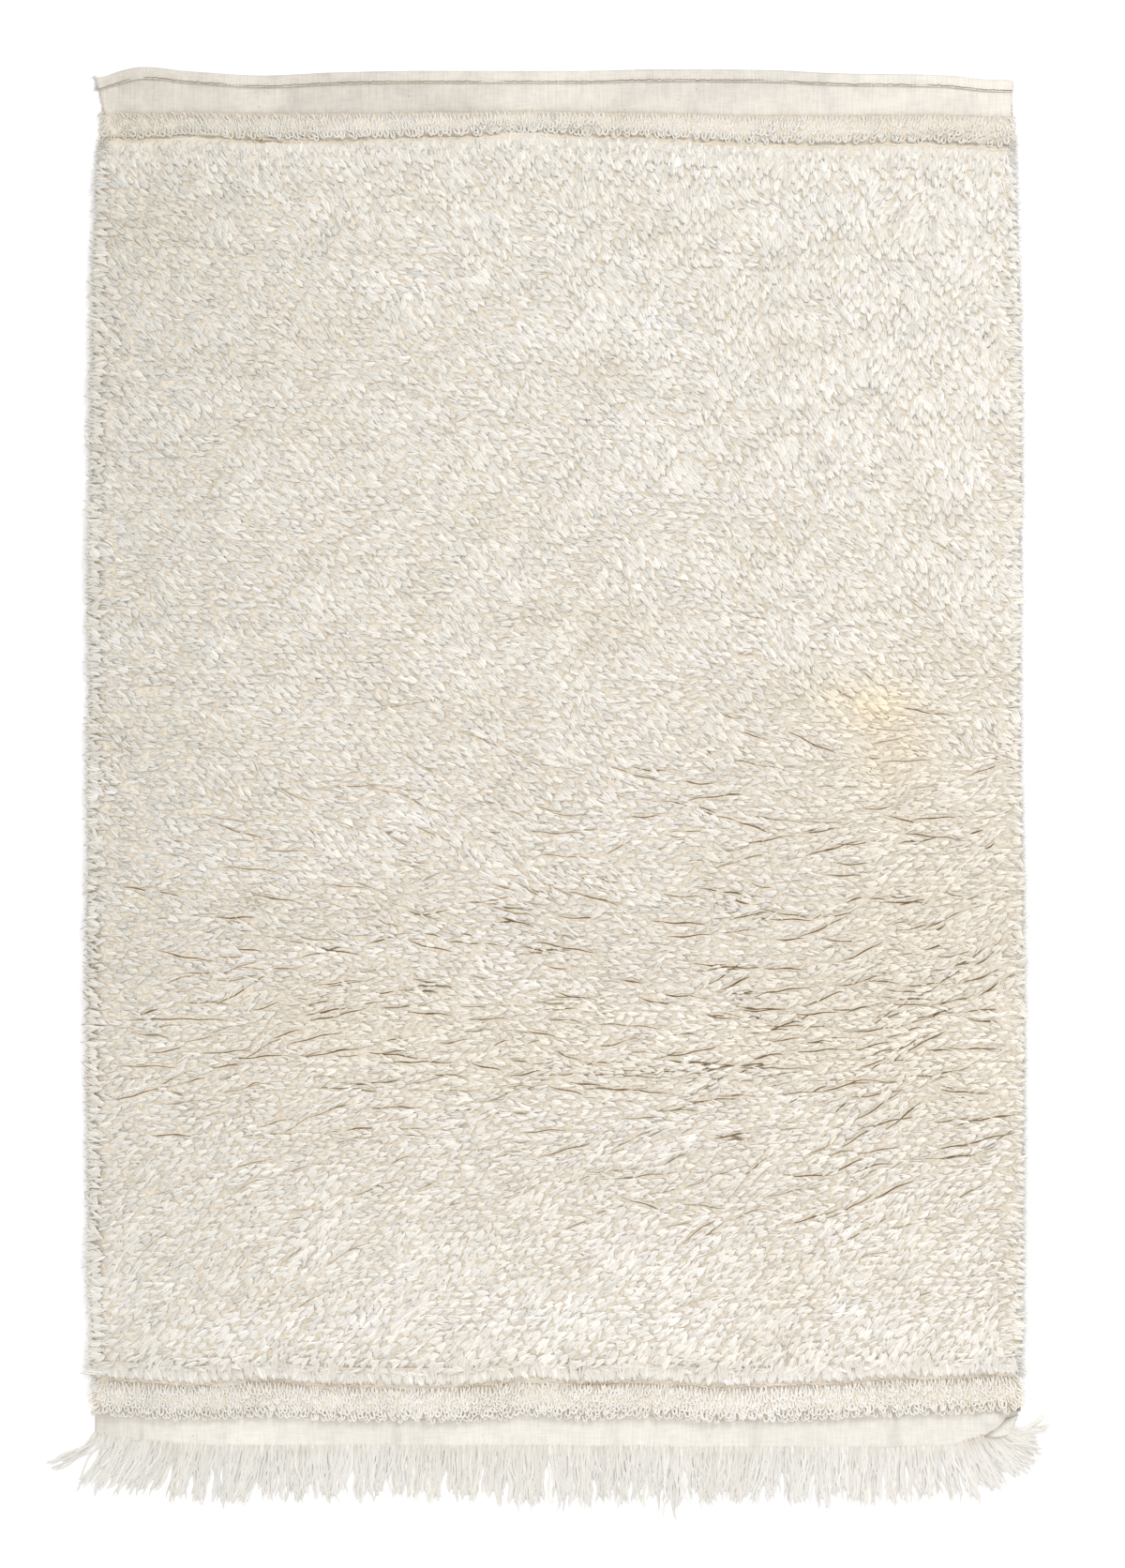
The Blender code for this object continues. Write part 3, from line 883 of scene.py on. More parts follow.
def cloth_points(across, down):
    """Points in the middle of the cloth's thickness, from its foot to the hem's inner edge."""
    lines = (foot_edge, foot_band_end, foot_crease, field_foot)
    lines += (field_head, head_crease, head_band_start)
    radius = (THICKNESS + HEM_SLIT) / 2
    turn = head_edge(across) - radius - THICKNESS / 2
    stops = np.array([line(across) for line in lines] + [turn])
    row = down * CUT_ROWS
    passed = np.interp(row, LINE_ROWS, range(len(LINE_ROWS)))
    below = np.minimum(passed.astype(int), len(LINE_ROWS) - 2)
    columns = np.arange(len(across))
    start, end = stops[below, columns], stops[below + 1, columns]
    y = start + (end - start) * (passed - below)
    rolled = np.clip((row - LINE_ROWS[-1]) / (TURNED_ROW - LINE_ROWS[-1]), 0, 1) * math.pi
    back = np.clip((row - TURNED_ROW) / (CUT_ROWS - TURNED_ROW), 0, 1)
    y = y + radius * np.sin(rolled) - back * (HEM_DEPTH - radius)
    x = crosswise(across, y)
    bare = np.clip((np.abs(y) - CLOTH_LENGTH / 2 + CREASED) / CREASES_FADE, 0, 1)
    z = THICKNESS / 2 + radius * (1 - np.cos(rolled)) + bare * cloth_unevenness(across, x, y)
    puff = np.sin(back * math.pi) * (0.8 + 0.5 * smooth_noise(x, y, 18 * MM, 37.0))
    return np.stack([x, y, np.maximum(z + puff * MM + pinch(x, y), THICKNESS / 2)], -1)


def cloth_soil_and_shade(points):
    """How much darker the cloth is, for soil and for painted shade: in the creases, under the
    bands' edges and round the rim.
    """
    x, y = points[:, 0], points[:, 1]
    across = crosswise_share(x)
    # Painted shade: the head is darker all over, most at its left, and the foot only at its left.
    soil = np.where(y > 0, 0.23 - 0.12 * across, 0.02 + 0.10 * np.exp(-across / 0.10))
    # Each line, how wide the painted shade and soil along it are in millimetres, and how much.
    lines = ((head_crease, 3, 0.35), (foot_crease, 3, 0.4), (head_band_start, 4, 0.12))
    lines += ((head_edge, 1.6, 0.75), (foot_edge, 2.0, 0.08))
    for line, wide, amount in lines:
        off = (y - line(across)) / (wide * MM)
        soil = np.maximum(soil, amount * np.exp(-(off**2)))
    # The cloth is darker along both selvedges.
    rim = np.minimum(x - crosswise(0, y), crosswise(1, y) - x)
    soil = np.maximum(soil, 0.12 * np.exp(-((rim / (2.5 * MM)) ** 2)))
    # Painted shade on one side of each crease in the cloth, deeper where the crease is larger.
    for crease in CREASES:
        off = (across - crease.across) * 2 * HALF_WIDTH / (crease.wide * MM) - 0.9
        depth = 0.12 * abs(crease.high) * np.exp(-2 * off**2) * (np.sign(y) == crease.end)
        soil = np.maximum(soil, depth)
    return {"soil": soil}


class RUG_OT_ground_cloth(bpy.types.Operator):
    """Adds the woven cloth, with its head edge rolled over and sewn down as a hem"""

    bl_idname = "rug.ground_cloth"
    bl_label = "Ground cloth"

    def execute(self, context):
        add_sheet(
            "ground_cloth",
            CLOTH_COLUMNS,
            CUT_ROWS,
            cloth_points,
            flat_weave(),
            THICKNESS - 0.2 * MM,
            offset=0,
            attributes=cloth_soil_and_shade,
        )
        return {"FINISHED"}


# The flap of cloth at the pinched corner, from the end of the foot edge: its two upper and its
# two lower corners, in millimetres, and how high it stands at each.
FLAP = np.array(
    [
        [(-13, 3, 3.0), (2, 7, 1.5)],
        [(-42, -21, 2.5), (-10, -19, 2.0)],
    ]
)
# How high it curls between its long sides, and how far its free end bulges, in millimetres.
FLAP_RISE = 3.2
FLAP_BULGE = 2.0
FLAP_THICKNESS = 1.4 * MM


def foot_right_corner():
    """The right end of the foot edge, on the floor."""
    y = foot_edge(1.0)
    return np.array([crosswise(1.0, y), y, 0.0])


def flap_points(across, down):
    """Points on the flap, which curls up between its two long sides."""
    across, down = across[:, None], down[:, None]
    upper = FLAP[0, 0] + (FLAP[0, 1] - FLAP[0, 0]) * across
    lower = FLAP[1, 0] + (FLAP[1, 1] - FLAP[1, 0]) * across
    points = upper + (lower - upper) * down
    points[:, 2] += FLAP_RISE * np.sin(math.pi * across[:, 0]) ** 0.7
    points[:, 1] -= FLAP_BULGE * np.sin(math.pi * across[:, 0]) * down[:, 0]
    return points * MM + foot_right_corner()


def flap_fold_shade(points):
    """Painted shade on the flap, along the fold that parts it from the rest of the cloth."""
    off = points / MM - foot_right_corner() / MM
    fold = (FLAP[1, 0] - FLAP[0, 0])[:2]
    fold = fold / np.linalg.norm(fold)
    away = (off[:, 0] - FLAP[0, 0, 0]) * fold[1] - (off[:, 1] - FLAP[0, 0, 1]) * fold[0]
    return {"soil": 0.45 * np.exp(-((away / 4.5) ** 2))}


class RUG_OT_corner_flap(bpy.types.Operator):
    """Adds the flap of cloth that is folded over at the pinched corner"""

    bl_idname = "rug.corner_flap"
    bl_label = "Corner flap"

    def execute(self, context):
        weave = bpy.data.materials["flat_weave"]
        add_sheet("corner_flap", 14, 12, flap_points, weave, FLAP_THICKNESS, 0, flap_fold_shade)
        return {"FINISHED"}


# The hem's running stitches: how long a stitch is, how far its thread reaches to both sides of
# its middle as a share of that, how thick the thread is, and how often its plies turn, in
# millimetres.
SEAM_STITCH = 4.6 * MM
SEAM_REACH = 0.47
SEAM_THREAD = 1.3 * MM
PLY_PITCH = 2

# Loose threads at the cut ends of the hem and down the cut sides of the weave at the head.
# across is a share of the width, start and end are in millimetres under the head edge, heading
# in degrees from +X, length in millimetres, and count how many there are.
Fray = namedtuple("Fray", "across start end heading length count")
FRAYS = (
    Fray(0.0, 0, 6, 128, 11, 16),
    Fray(0.0, 8, 15, 186, 10, 16),
    Fray(0.0, 16, 54, 200, 4, 44),
    Fray(1.0, 1, 16, 10, 4, 22),
    Fray(1.0, 16, 54, -20, 3, 36),
)
FRAY_WIDTH = 1.0 * MM
FRAY_TINT = np.array([0.9, 0.91, 0.93])


def seam_thread():
    """Waxed two-ply thread: matt, darker than the cloth, with a light and a dark ply."""
    material, tree, shader = new_material("seam_thread", roughness=0.8)
    uv = add_node(tree, "ShaderNodeUVMap", uv_map="UVMap").outputs["UV"]
    twist = add_node(
        tree,
        "ShaderNodeTexWave",
        {"Vector": uv, "Scale": DIAGONALS / PLY_PITCH},
        bands_direction="DIAGONAL",
    ).outputs["Fac"]
    low, high = linear("80705A"), linear("B4A58D")
    body = add_node(tree, "ShaderNodeMix", {"Factor": twist, "A": low, "B": high}, **COLOUR)
    tree.links.new(body.outputs["Result"], shader.inputs["Base Color"])
    return material


def hem_stitches(random):
    """Adds the running stitches, which lie on the hem close to its inner edge."""
    count = round(2 * HALF_WIDTH / SEAM_STITCH)
    across = (np.arange(count) + 0.5) / count
    shares = across[:, None] + SEAM_REACH / count * np.array([-1.0, -0.5, 0.5, 1.0])[None]
    y = head_edge(shares) - HEM_DEPTH + 0.9 * MM + random.normal(0, 0.3 * MM, (count, 1))
    x = crosswise(shares, y)
    z = 2 * THICKNESS + np.array([0.3, 1.1, 1.1, 0.3])[None] * MM
    path = np.stack([x, y, np.broadcast_to(z, x.shape)], -1)
    width = np.full(x.shape, SEAM_THREAD)
    rings = tube_rings(path, width, width, CORD_SECTION)
    thread = seam_thread()
    finish_piece(joined_tubes("hem_seam", rings, {}, thread, pointed=False, smooth=True))


def hem_frays(random):
    """Adds the loose threads at the two ends of the hem and under them."""
    across, start, end, heading, length, number = np.array(FRAYS, float).T
    each = np.repeat(np.arange(len(FRAYS)), number.astype(int))
    count = len(each)
    below = start[each] + (end - start)[each] * random.uniform(size=count)
    y = head_edge(across[each]) - below * MM
    x = crosswise(across[each], y) - 1.5 * MM * np.sign(across[each] - 0.5)
    turn = np.radians(heading[each] + random.normal(0, 20, count))
    length = length[each] * random.uniform(0.5, 1.15, count) * MM
    x = x + 0.45 * length * np.cos(turn)
    y = y + 0.45 * length * np.sin(turn)
    height = np.array([1.6, 1.8, 1.4, 0.8])[None] * MM
    height = height + random.uniform(0, 1.2, (count, 1)) * MM
    bend = random.normal(0, 0.8, count)
    width = np.full(count, FRAY_WIDTH)
    rings = strand_rings(np.stack([x, y], -1), height, turn, length, width, bend)
    wool = spun_wool("frayed_wool", 2.0, 5.0, 0.2 * MM, 0.06)
    add_yarns("hem_frays", rings, np.full((1, 1, 3), 0.75), FRAY_TINT[None], wool, smooth=True)


class RUG_OT_hem_seam(bpy.types.Operator):
    """Adds the running stitches that hold the hem, and the frayed ends at its corners"""

    bl_idname = "rug.hem_seam"
    bl_label = "Hem seam"

    def execute(self, context):
        random = np.random.default_rng(settings().seed + 1)
        hem_stitches(random)
        hem_frays(random)
        return {"FINISHED"}


# ---- the pile field ------------------------------------------------------------------------

# Long partings of the pile, where its roots show. across and along are shares of the cloth, the
# length and bow are in millimetres, degrees is its direction, and depth is 1 for the deepest.
Parting = namedtuple("Parting", "across along length degrees bow depth")
PARTINGS = (
    Parting(0.09, 0.689, 165, 0, 2, 1.0),
    Parting(0.14, 0.696, 32, 18, 1, 0.8),
    Parting(0.065, 0.700, 52, -8, 1, 0.8),
    Parting(0.22, 0.690, 42, 0, 1, 0.6),
    Parting(0.333, 0.678, 88, 4, -2, 0.7),
    Parting(0.353, 0.720, 112, 0, 2, 1.0),
    Parting(0.380, 0.729, 56, -3, 1, 1.0),
    Parting(0.245, 0.731, 86, 0, 2, 0.5),
    Parting(0.275, 0.7395, 88, -3, 2, 0.8),
    Parting(0.380, 0.739, 108, 0, -2, 0.8),
    Parting(0.322, 0.753, 92, 2, 2, 0.8),
    Parting(0.395, 0.7535, 68, 0, -1, 0.7),
    Parting(0.282, 0.7685, 72, 6, 1, 1.0),
    Parting(0.345, 0.768, 44, -4, 1, 0.7),
    Parting(0.083, 0.773, 86, 0, 2, 0.8),
    Parting(0.195, 0.772, 78, 3, 1, 0.5),
    Parting(0.487, 0.7695, 68, 4, 1, 0.8),
    Parting(0.150, 0.7215, 36, 8, 1, 0.6),
    Parting(0.487, 0.7205, 56, 0, 1, 0.7),
    Parting(0.545, 0.730, 190, -1, 3, 1.0),
    Parting(0.612, 0.724, 128, 0, -4, 1.0),
    Parting(0.576, 0.7405, 122, -4, 2, 1.0),
    Parting(0.722, 0.724, 142, 0, 1, 0.8),
    Parting(0.672, 0.7325, 112, -2, 2, 0.7),
    Parting(0.692, 0.744, 64, 0, 1, 0.7),
    Parting(0.756, 0.742, 80, 4, 1, 0.7),
    Parting(0.827, 0.7335, 140, -1, 2, 0.6),
    Parting(0.914, 0.731, 36, 14, 1, 0.7),
    Parting(0.631, 0.7545, 58, 0, 1, 0.7),
    Parting(0.584, 0.694, 104, -5, 2, 0.8),
    Parting(0.747, 0.694, 134, 0, 2, 0.8),
    Parting(0.877, 0.6785, 104, -3, 2, 0.8),
    Parting(0.849, 0.661, 52, -8, 1, 0.8),
    Parting(0.596, 0.712, 50, 0, 1, 0.6),
    Parting(0.510, 0.673, 60, -6, 2, 0.7),
    Parting(0.430, 0.660, 70, -10, 2, 0.5),
    Parting(0.320, 0.524, 70, -12, 2, 0.5),
    Parting(0.165, 0.470, 60, -20, 2, 0.4),
    Parting(0.900, 0.520, 70, 10, 2, 0.6),
    Parting(0.950, 0.600, 60, 20, 2, 0.7),
)
# How far to each side a parting pushes the locks away, and how it wavers: by how much to both
# sides, and over which length for each radian.
PARTING_REACH = 8.0 * MM
PARTING_WAVER = 0.8 * MM
PARTING_WAVE = 6.5 * MM
SMALL_PARTINGS = 520

# How high the pile is at the creases, and how far from them it reaches its full height.
CREASE_HEIGHT = 9.5 * MM
HEAD_SLOPE = 46 * MM
FOOT_SLOPE = 22 * MM


def all_partings():
    """The partings as rows: those of the table, and short ones that follow the pile.

    The short ones are the most in the lower field, and somewhat more at the right.
    """
    random = np.random.default_rng(settings().seed + 5)
    table = np.array(PARTINGS, float)
    across = random.beta(1.3, 1.0, SMALL_PARTINGS) * 0.94 + 0.03
    down = random.beta(8.0, 3.6, SMALL_PARTINGS)
    y = field_head(across) + (field_foot(across) - field_head(across)) * down
    heading, gaps = pile_lay(across, y, down)
    small = np.stack(
        [
            across,
            0.5 - y / CLOTH_LENGTH,
            random.uniform(16, 90, SMALL_PARTINGS),
            0.7 * np.degrees(heading) + random.normal(0, 9, SMALL_PARTINGS),
            random.uniform(-3, 3, SMALL_PARTINGS),
            np.clip(gaps * random.uniform(0.3, 0.9, SMALL_PARTINGS), 0, 1.0),
        ],
        1,
    )
    return np.concatenate([table, small])


def parting_lines(partings, steps):
    """Points along each parting."""
    across, along, length, degrees, bow, _ = partings.T[..., None]
    share = np.linspace(-0.96, 0.96, steps)[None]
    middle_y = (0.5 - along) * CLOTH_LENGTH
    run = share * length * MM / 2
    out = bow * MM * (1 - share**2) + PARTING_WAVER * np.sin(run / PARTING_WAVE + 9 * along)
    turn = np.radians(degrees)
    x = crosswise(across, middle_y) + run * np.cos(turn) - out * np.sin(turn)
    return x, middle_y + run * np.sin(turn) + out * np.cos(turn)


def parting_offsets(x, y, partings):
    """How far each point is from the nearest parting, and that one's direction and depth."""
    nearest = np.full(len(x), 1.0)
    direction = np.zeros(len(x))
    depth = np.zeros(len(x))
    for across, along, length, degrees, bow, deep in partings:
        middle_y = (0.5 - along) * CLOTH_LENGTH
        off_x = x - crosswise(across, middle_y)
        off_y = y - middle_y
        turn = math.radians(degrees)
        run = off_x * math.cos(turn) + off_y * math.sin(turn)
        out = off_y * math.cos(turn) - off_x * math.sin(turn)
        share = run / (length * MM / 2)
        waver = PARTING_WAVER * np.sin(run / PARTING_WAVE + 9 * along)
        out = out - bow * MM * (1 - share**2) - waver
        reach = np.minimum(np.abs(nearest), 2 * PARTING_REACH)
        near = (np.abs(share) < 1) & (np.abs(out) < reach)
        nearest[near] = out[near]
        direction[near] = turn
        depth[near] = deep * np.sqrt(1 - share[near] ** 2 * 0.8)
    return nearest, direction, depth


# How far a lock strays from its place, as a share of the pitch, and the shares of the width that
# a root keeps to.
LOCK_STRAY = 0.22
INSIDE = (0.004, 0.996)


def lock_places(random):
    """Places of the field's locks in staggered rows: across, y and the share down the field."""
    rows = round((pile_start(0.5) - pile_end(0.5)) / settings().row_pitch)
    columns = round(2 * HALF_WIDTH / settings().lock_pitch)
    row = np.repeat(np.arange(rows), columns + 1)
    column = np.tile(np.arange(columns + 1), rows).astype(float)
    column += 0.5 * (row % 2) - 0.25 + random.uniform(-LOCK_STRAY, LOCK_STRAY, row.shape)
    down = (row + 0.5 + random.uniform(-LOCK_STRAY, LOCK_STRAY, row.shape)) / rows
    across = np.clip(column / columns, *INSIDE)
    y = pile_start(across) + (pile_end(across) - pile_start(across)) * down
    return across, y, down


def pile_start(across):
    """Where the first short locks lie, close under the head crease."""
    return head_crease(across) - 6 * MM


def pile_end(across):
    """Where the last locks are rooted, which hang over the bare line to the foot crease."""
    return foot_crease(across) + 5 * MM


def pile_top(x, y, across):
    """The height of the pile's top, which slopes down to the creases at the ends of the field."""
    within = np.clip(y, field_foot(across) + 4 * MM, field_head(across) - 6 * MM)
    full = solid_height(x, within)
    from_head = np.clip((head_crease(across) - y) / HEAD_SLOPE, 0, 1)
    from_foot = np.clip((y - foot_crease(across)) / FOOT_SLOPE, 0, 1)
    risen = np.sin(from_head * math.pi / 2) * np.sqrt(np.sin(from_foot * math.pi / 2))
    return CREASE_HEIGHT + np.maximum(full - CREASE_HEIGHT, 0) * risen


def pile_lay(across, y, down):
    """Which way the pile lies, in radians, and how deep its gaps are."""
    x = crosswise(across, y)
    left, middle, right = [curve(LAYS, name)(down) for name in ("left", "middle", "right")]
    to_left = np.clip((0.5 - across) / 0.4, 0, 1)
    to_right = np.clip((across - 0.5) / 0.4, 0, 1)
    heading = middle + (left - middle) * to_left + (right - middle) * to_right
    stray = curve(LAYS, "stray_left")(down)
    stray = stray + (curve(LAYS, "stray_right")(down) - stray) * np.clip(across * 1.5 - 0.5, 0, 1)
    swirl = smooth_noise(x, y, 70 * MM, 21.0) + 0.7 * smooth_noise(x, y, 28 * MM, 26.0)
    # The gaps are deeper towards the right in the lower field, and a little towards the left.
    gaps = curve(LAYS, "gaps")(down) * (1 + 1.3 * np.clip(across * 2 - 1, 0, 1) * (down > 0.40))
    gaps = gaps + 0.25 * np.clip(1 - across * 3, 0, 1)
    gaps = gaps * (1 + 0.8 * smooth_noise(x, y, 90 * MM, 29.0))
    return np.radians(heading + 1.6 * stray * swirl), gaps


# A strand of the field at its stations: how far over or under the top of the pile each is in
# millimetres, and how light it is painted, which is painted shade at its root and its tip.
STRAND_RISE = np.array([-5.5, -1.5, -0.2, -0.8])
STRAND_SHADE = np.array([0.15, 0.75, 1.0, 0.5])
# How far it droops at its stations, in millimetres, where it reaches so far over a side.
STRAND_DROOP = np.array([0.0, 1.0, 3.0, 6.0])
DROOP_REACH = 9 * MM
# How light a strand's sides are painted inside a lock, how much lighter where the gaps are deep,
# and how light the lock's own sides are: painted shade between the strands and between locks.
STRAND_SIDE = 0.46
STRAND_SIDE_IN_GAPS = 0.24
LOCK_SIDE = 0.11
# How far apart a lock's strands lie, as a share of their width, and how far its outer ones sink.
LOCK_SPREAD = 0.52
LOCK_DOME = 0.9 * MM
# How wide the strip along each side is where the locks lie towards the right, and how far the
# first and the last rows reach, which hang towards the foot.
RIM_STRIP = 26 * MM
FIRST_ROWS = 40 * MM
LAST_ROWS = 26 * MM
# How far single strands differ in tone, and how many pieces the field is made in.
STRAND_TONES = 0.065
FIELD_PARTS = 4


def lock_room(heading):
    """How much wider than at a row's pitch a lock can be, where it turns towards the columns."""
    spare = settings().lock_pitch / settings().row_pitch - 1
    return 1 + spare * np.abs(np.sin(heading))


def blend(heading, other, share):
    """Turns a heading towards another by a share."""
    return np.angle((1 - share) * np.exp(1j * heading) + share * np.exp(1j * other))


def settle_locks(random):
    """Where each lock of the field lies, as a dictionary of arrays."""
    across, y, down = lock_places(random)
    heading, gaps = pile_lay(across, y, down)
    x = crosswise(across, y)
    # Locks draw back from a parting, and lie along it.
    offset, direction, depth = parting_offsets(x, y, all_partings())
    near = depth * (np.abs(offset) < PARTING_REACH)
    away = np.copysign(PARTING_REACH * random.uniform(0.9, 1.1, x.shape), offset) - offset
    x = x - near * away * np.sin(direction)
    y = y + near * away * np.cos(direction)
    beside = depth * np.exp(-((offset / (1.5 * PARTING_REACH)) ** 2))
    along_parting = direction + math.pi * (np.cos(heading - direction) < 0)
    heading = blend(heading, along_parting, beside)
    heading = heading + np.radians(random.normal(0, 7, x.shape))
    # Those along both sides lie towards the right, and the first and the last rows hang.
    rightwards = np.radians(random.normal(-8, 20, x.shape))
    rim = np.clip(1 - (HALF_WIDTH - np.abs(x)) / RIM_STRIP, 0, 1)
    heading = blend(heading, rightwards, rim)
    first = 1 - np.clip((pile_start(across) - y) / FIRST_ROWS, 0, 1)
    last = np.clip(1 - (y - pile_end(across)) / LAST_ROWS, 0, 1)
    hanging = np.radians(-90 + random.normal(0, 10, x.shape))
    loose = np.maximum(0.5 * first, last) * (1 - rim)
    heading = blend(heading, hanging, loose)
    top = pile_top(x, y, across) + random.normal(0, 0.4 * MM, x.shape) * (1 - 0.7 * first)
    big = random.uniform(0.82, 1.15, x.shape)
    # Locks are shorter and thinner where the gaps between them are deep.
    open_gaps = np.clip(gaps, 0, 1.8)
    length = settings().strand_length * random.uniform(0.9, 1.1, x.shape) * big
    length = length * (1.02 - 0.04 * open_gaps)
    big = big * (1.04 - 0.05 * open_gaps)
    x = x + rim * np.copysign(random.uniform(-4, 5, x.shape) * MM, x)
    width = lock_room(heading) * random.uniform(0.92, 1.06, x.shape) * big
    return {
        "x": x,
        "y": y,
        "top": top,
        "heading": heading,
        "gaps": (gaps + 0.5 * beside) * (1 - first) - 0.3 * first**2,
        "length": length * (1 - 0.35 * first + 0.45 * last),
        "width": width * (1 - 0.2 * first),
        "bend": random.normal(0, 0.95, x.shape) * (1 - 0.6 * loose),
    }


def lay_strands(random, locks):
    """The strands of the locks: their rings, middles, places in a lock and gaps."""
    strands = settings().strands
    lock = np.repeat(np.arange(len(locks["x"])), strands)
    x, y, top, heading, gaps, length, width, bend = (locks[name][lock] for name in locks)
    place = np.tile(np.arange(strands), len(locks["x"])) - (strands - 1) / 2
    jitter = random.normal(0, 1, (5, len(lock)))
    aside = settings().strand_width * LOCK_SPREAD * width * (place + 0.12 * jitter[0])
    ahead = 1.5 * MM * jitter[1] - 1.8 * MM * place**2
    x = x - aside * np.sin(heading) + ahead * np.cos(heading)
    y = y + aside * np.cos(heading) + ahead * np.sin(heading)
    heading = heading - 0.12 * place + 0.06 * jitter[2]
    bend = bend - 0.25 * place + 0.15 * jitter[3]
    # No strand lies across a parting.
    offset, direction, depth = parting_offsets(x, y, all_partings())
    clear = (1.1 + 1.2 * depth) * MM
    too_near = (np.abs(offset) < clear) & (depth > 0)
    push = np.where(too_near, np.copysign(clear, offset) - offset, 0)
    x = x - push * np.sin(direction)
    y = y + push * np.cos(direction)
    # None reaches over the foot crease.
    limit = foot_crease(crosswise_share(x)) + random.uniform(-2.5, 2.0, x.shape) * MM
    y = np.maximum(y, limit + 0.5 * length * np.abs(np.sin(heading)))
    rise = top[:, None] + (STRAND_RISE[None] + 0.25 * jitter[4][:, None]) * MM
    rise = rise - (LOCK_DOME * place**2)[:, None]
    # Those that reach over the sides droop towards the floor.
    reach = np.abs(x + 0.5 * length * np.cos(heading)) - HALF_WIDTH
    rise = rise - np.clip(reach / DROOP_REACH, 0, 1.2)[:, None] * STRAND_DROOP * MM
    rise = np.maximum(rise, 2 * MM)
    girth = settings().strand_width * width
    rings = strand_rings(np.stack([x, y], -1), rise, heading, length, girth, bend)
    return rings, x, y, place, gaps


class RUG_OT_pile_field(bpy.types.Operator):
    """Adds the field of the pile as locks of strands that lie as they were trodden"""

    bl_idname = "rug.pile_field"
    bl_label = "Pile field"

    def execute(self, context):
        random = np.random.default_rng(settings().seed)
        rings, x, y, place, gaps = lay_strands(random, settle_locks(random))
        # Painted shade: the strands' sides, the locks' own sides and their roots and tips are
        # painted darker, the more so where the gaps are deep.
        inside = STRAND_SIDE + STRAND_SIDE_IN_GAPS * np.clip(gaps - 0.6, 0, 1)
        shade = lock_sides(place, inside, LOCK_SIDE) * STRAND_SHADE[None, :, None]
        shade = shade ** (0.3 + 0.65 * np.clip(gaps, -0.4, 2)[:, None, None])
        tint = wool_tint(x, y) * (1 + random.normal(0, STRAND_TONES, x.shape))[:, None]
        wool = spun_wool("pile_wool", 5.0, 5.0, 0.6 * MM, 0.12)
        cuts = np.linspace(0, len(rings), FIELD_PARTS + 1).astype(int)
        for number, (start, end) in enumerate(zip(cuts, cuts[1:])):
            part = slice(start, end)
            add_yarns(f"pile_field_{number + 1}", rings[part], shade[part], tint[part], wool)
        hang_locks(random, wool)
        return {"FINISHED"}


# The long locks that hang side by side from the field's last rows to the foot crease: how many
# strands, how many of them in a lock, a strand's length and width in millimetres, its rise over
# the top of the pile at its stations, how light it is painted there, and its sides inside and
# outside, as painted shade.
HANGING = 840
HANGING_IN_LOCK = 5
HANGING_LENGTH = 30
HANGING_WIDTH = 4.6
HANGING_RISE = np.array([-6.0, -1.2, 0.1, -0.8])
HANGING_SHADE = np.array([0.15, 0.75, 0.95, 0.55])
HANGING_SIDES = (0.66, 0.15)


def hang_locks(random, material):
    """Adds the locks that hang from the last rows of the field to the foot crease."""
    number = np.arange(HANGING)
    lock = number // HANGING_IN_LOCK
    place = number % HANGING_IN_LOCK - (HANGING_IN_LOCK - 1) / 2
    across = np.clip((number + 0.5) / HANGING, 0.006, 0.994)
    length = (HANGING_LENGTH * random.uniform(0.6, 1.35, HANGING)[lock] - 1.2 * place**2) * MM
    tip = foot_crease(across) + (random.uniform(-4.0, 2.0, HANGING)[lock] + 0.3 * place**2) * MM
    y = tip + 0.5 * length
    x = crosswise(across, y) + random.normal(0, 1.0, HANGING) * MM
    heading = np.radians(-90 - 5.0 * place + random.normal(0, 11, HANGING)[lock])
    heading = heading + np.radians(random.normal(0, 3, HANGING))
    down = y[:, None] + (0.5 - STATIONS)[None] * length[:, None]
    columns = np.repeat(x[:, None], len(STATIONS), 1)
    shares = np.repeat(across[:, None], len(STATIONS), 1)
    top = pile_top(columns.ravel(), down.ravel(), shares.ravel()).reshape(down.shape)
    rise = top + (HANGING_RISE[None] - 0.3 * place[:, None] ** 2) * MM
    width = HANGING_WIDTH * random.uniform(0.85, 1.15, HANGING) * MM
    bend = random.normal(0, 0.5, HANGING)[lock] - 0.12 * place
    rings = strand_rings(np.stack([x, y], -1), rise, heading, length, width, bend)
    shade = lock_sides(place, *HANGING_SIDES) * HANGING_SHADE[None, :, None]
    tint = wool_tint(x, y) * (0.96 + random.normal(0, 0.02, HANGING)[lock])[:, None]
    add_yarns("hanging_locks", rings, shade, tint, material)


# What hangs over both sides of the pile. length and width are in millimetres, inset is how far
# inside the selvedge it starts, and rise its height over the floor at its stations.
Rim = namedtuple("Rim", "name count length width inset rise")
RIMS = (
    Rim("rim_strands", 1600, 21, 2.8, 2, (4.5, 7.5, 5.5, 2.0)),
    Rim("rim_fibres", 2400, 20, 1.2, -2, (9.0, 10.0, 8.0, 4.5)),
)
# Painted shade: what hangs over the sides is painted greyer, as the pile's sides are in shade.
RIM_SHADE_TINT = np.array([0.88, 0.89, 0.91])


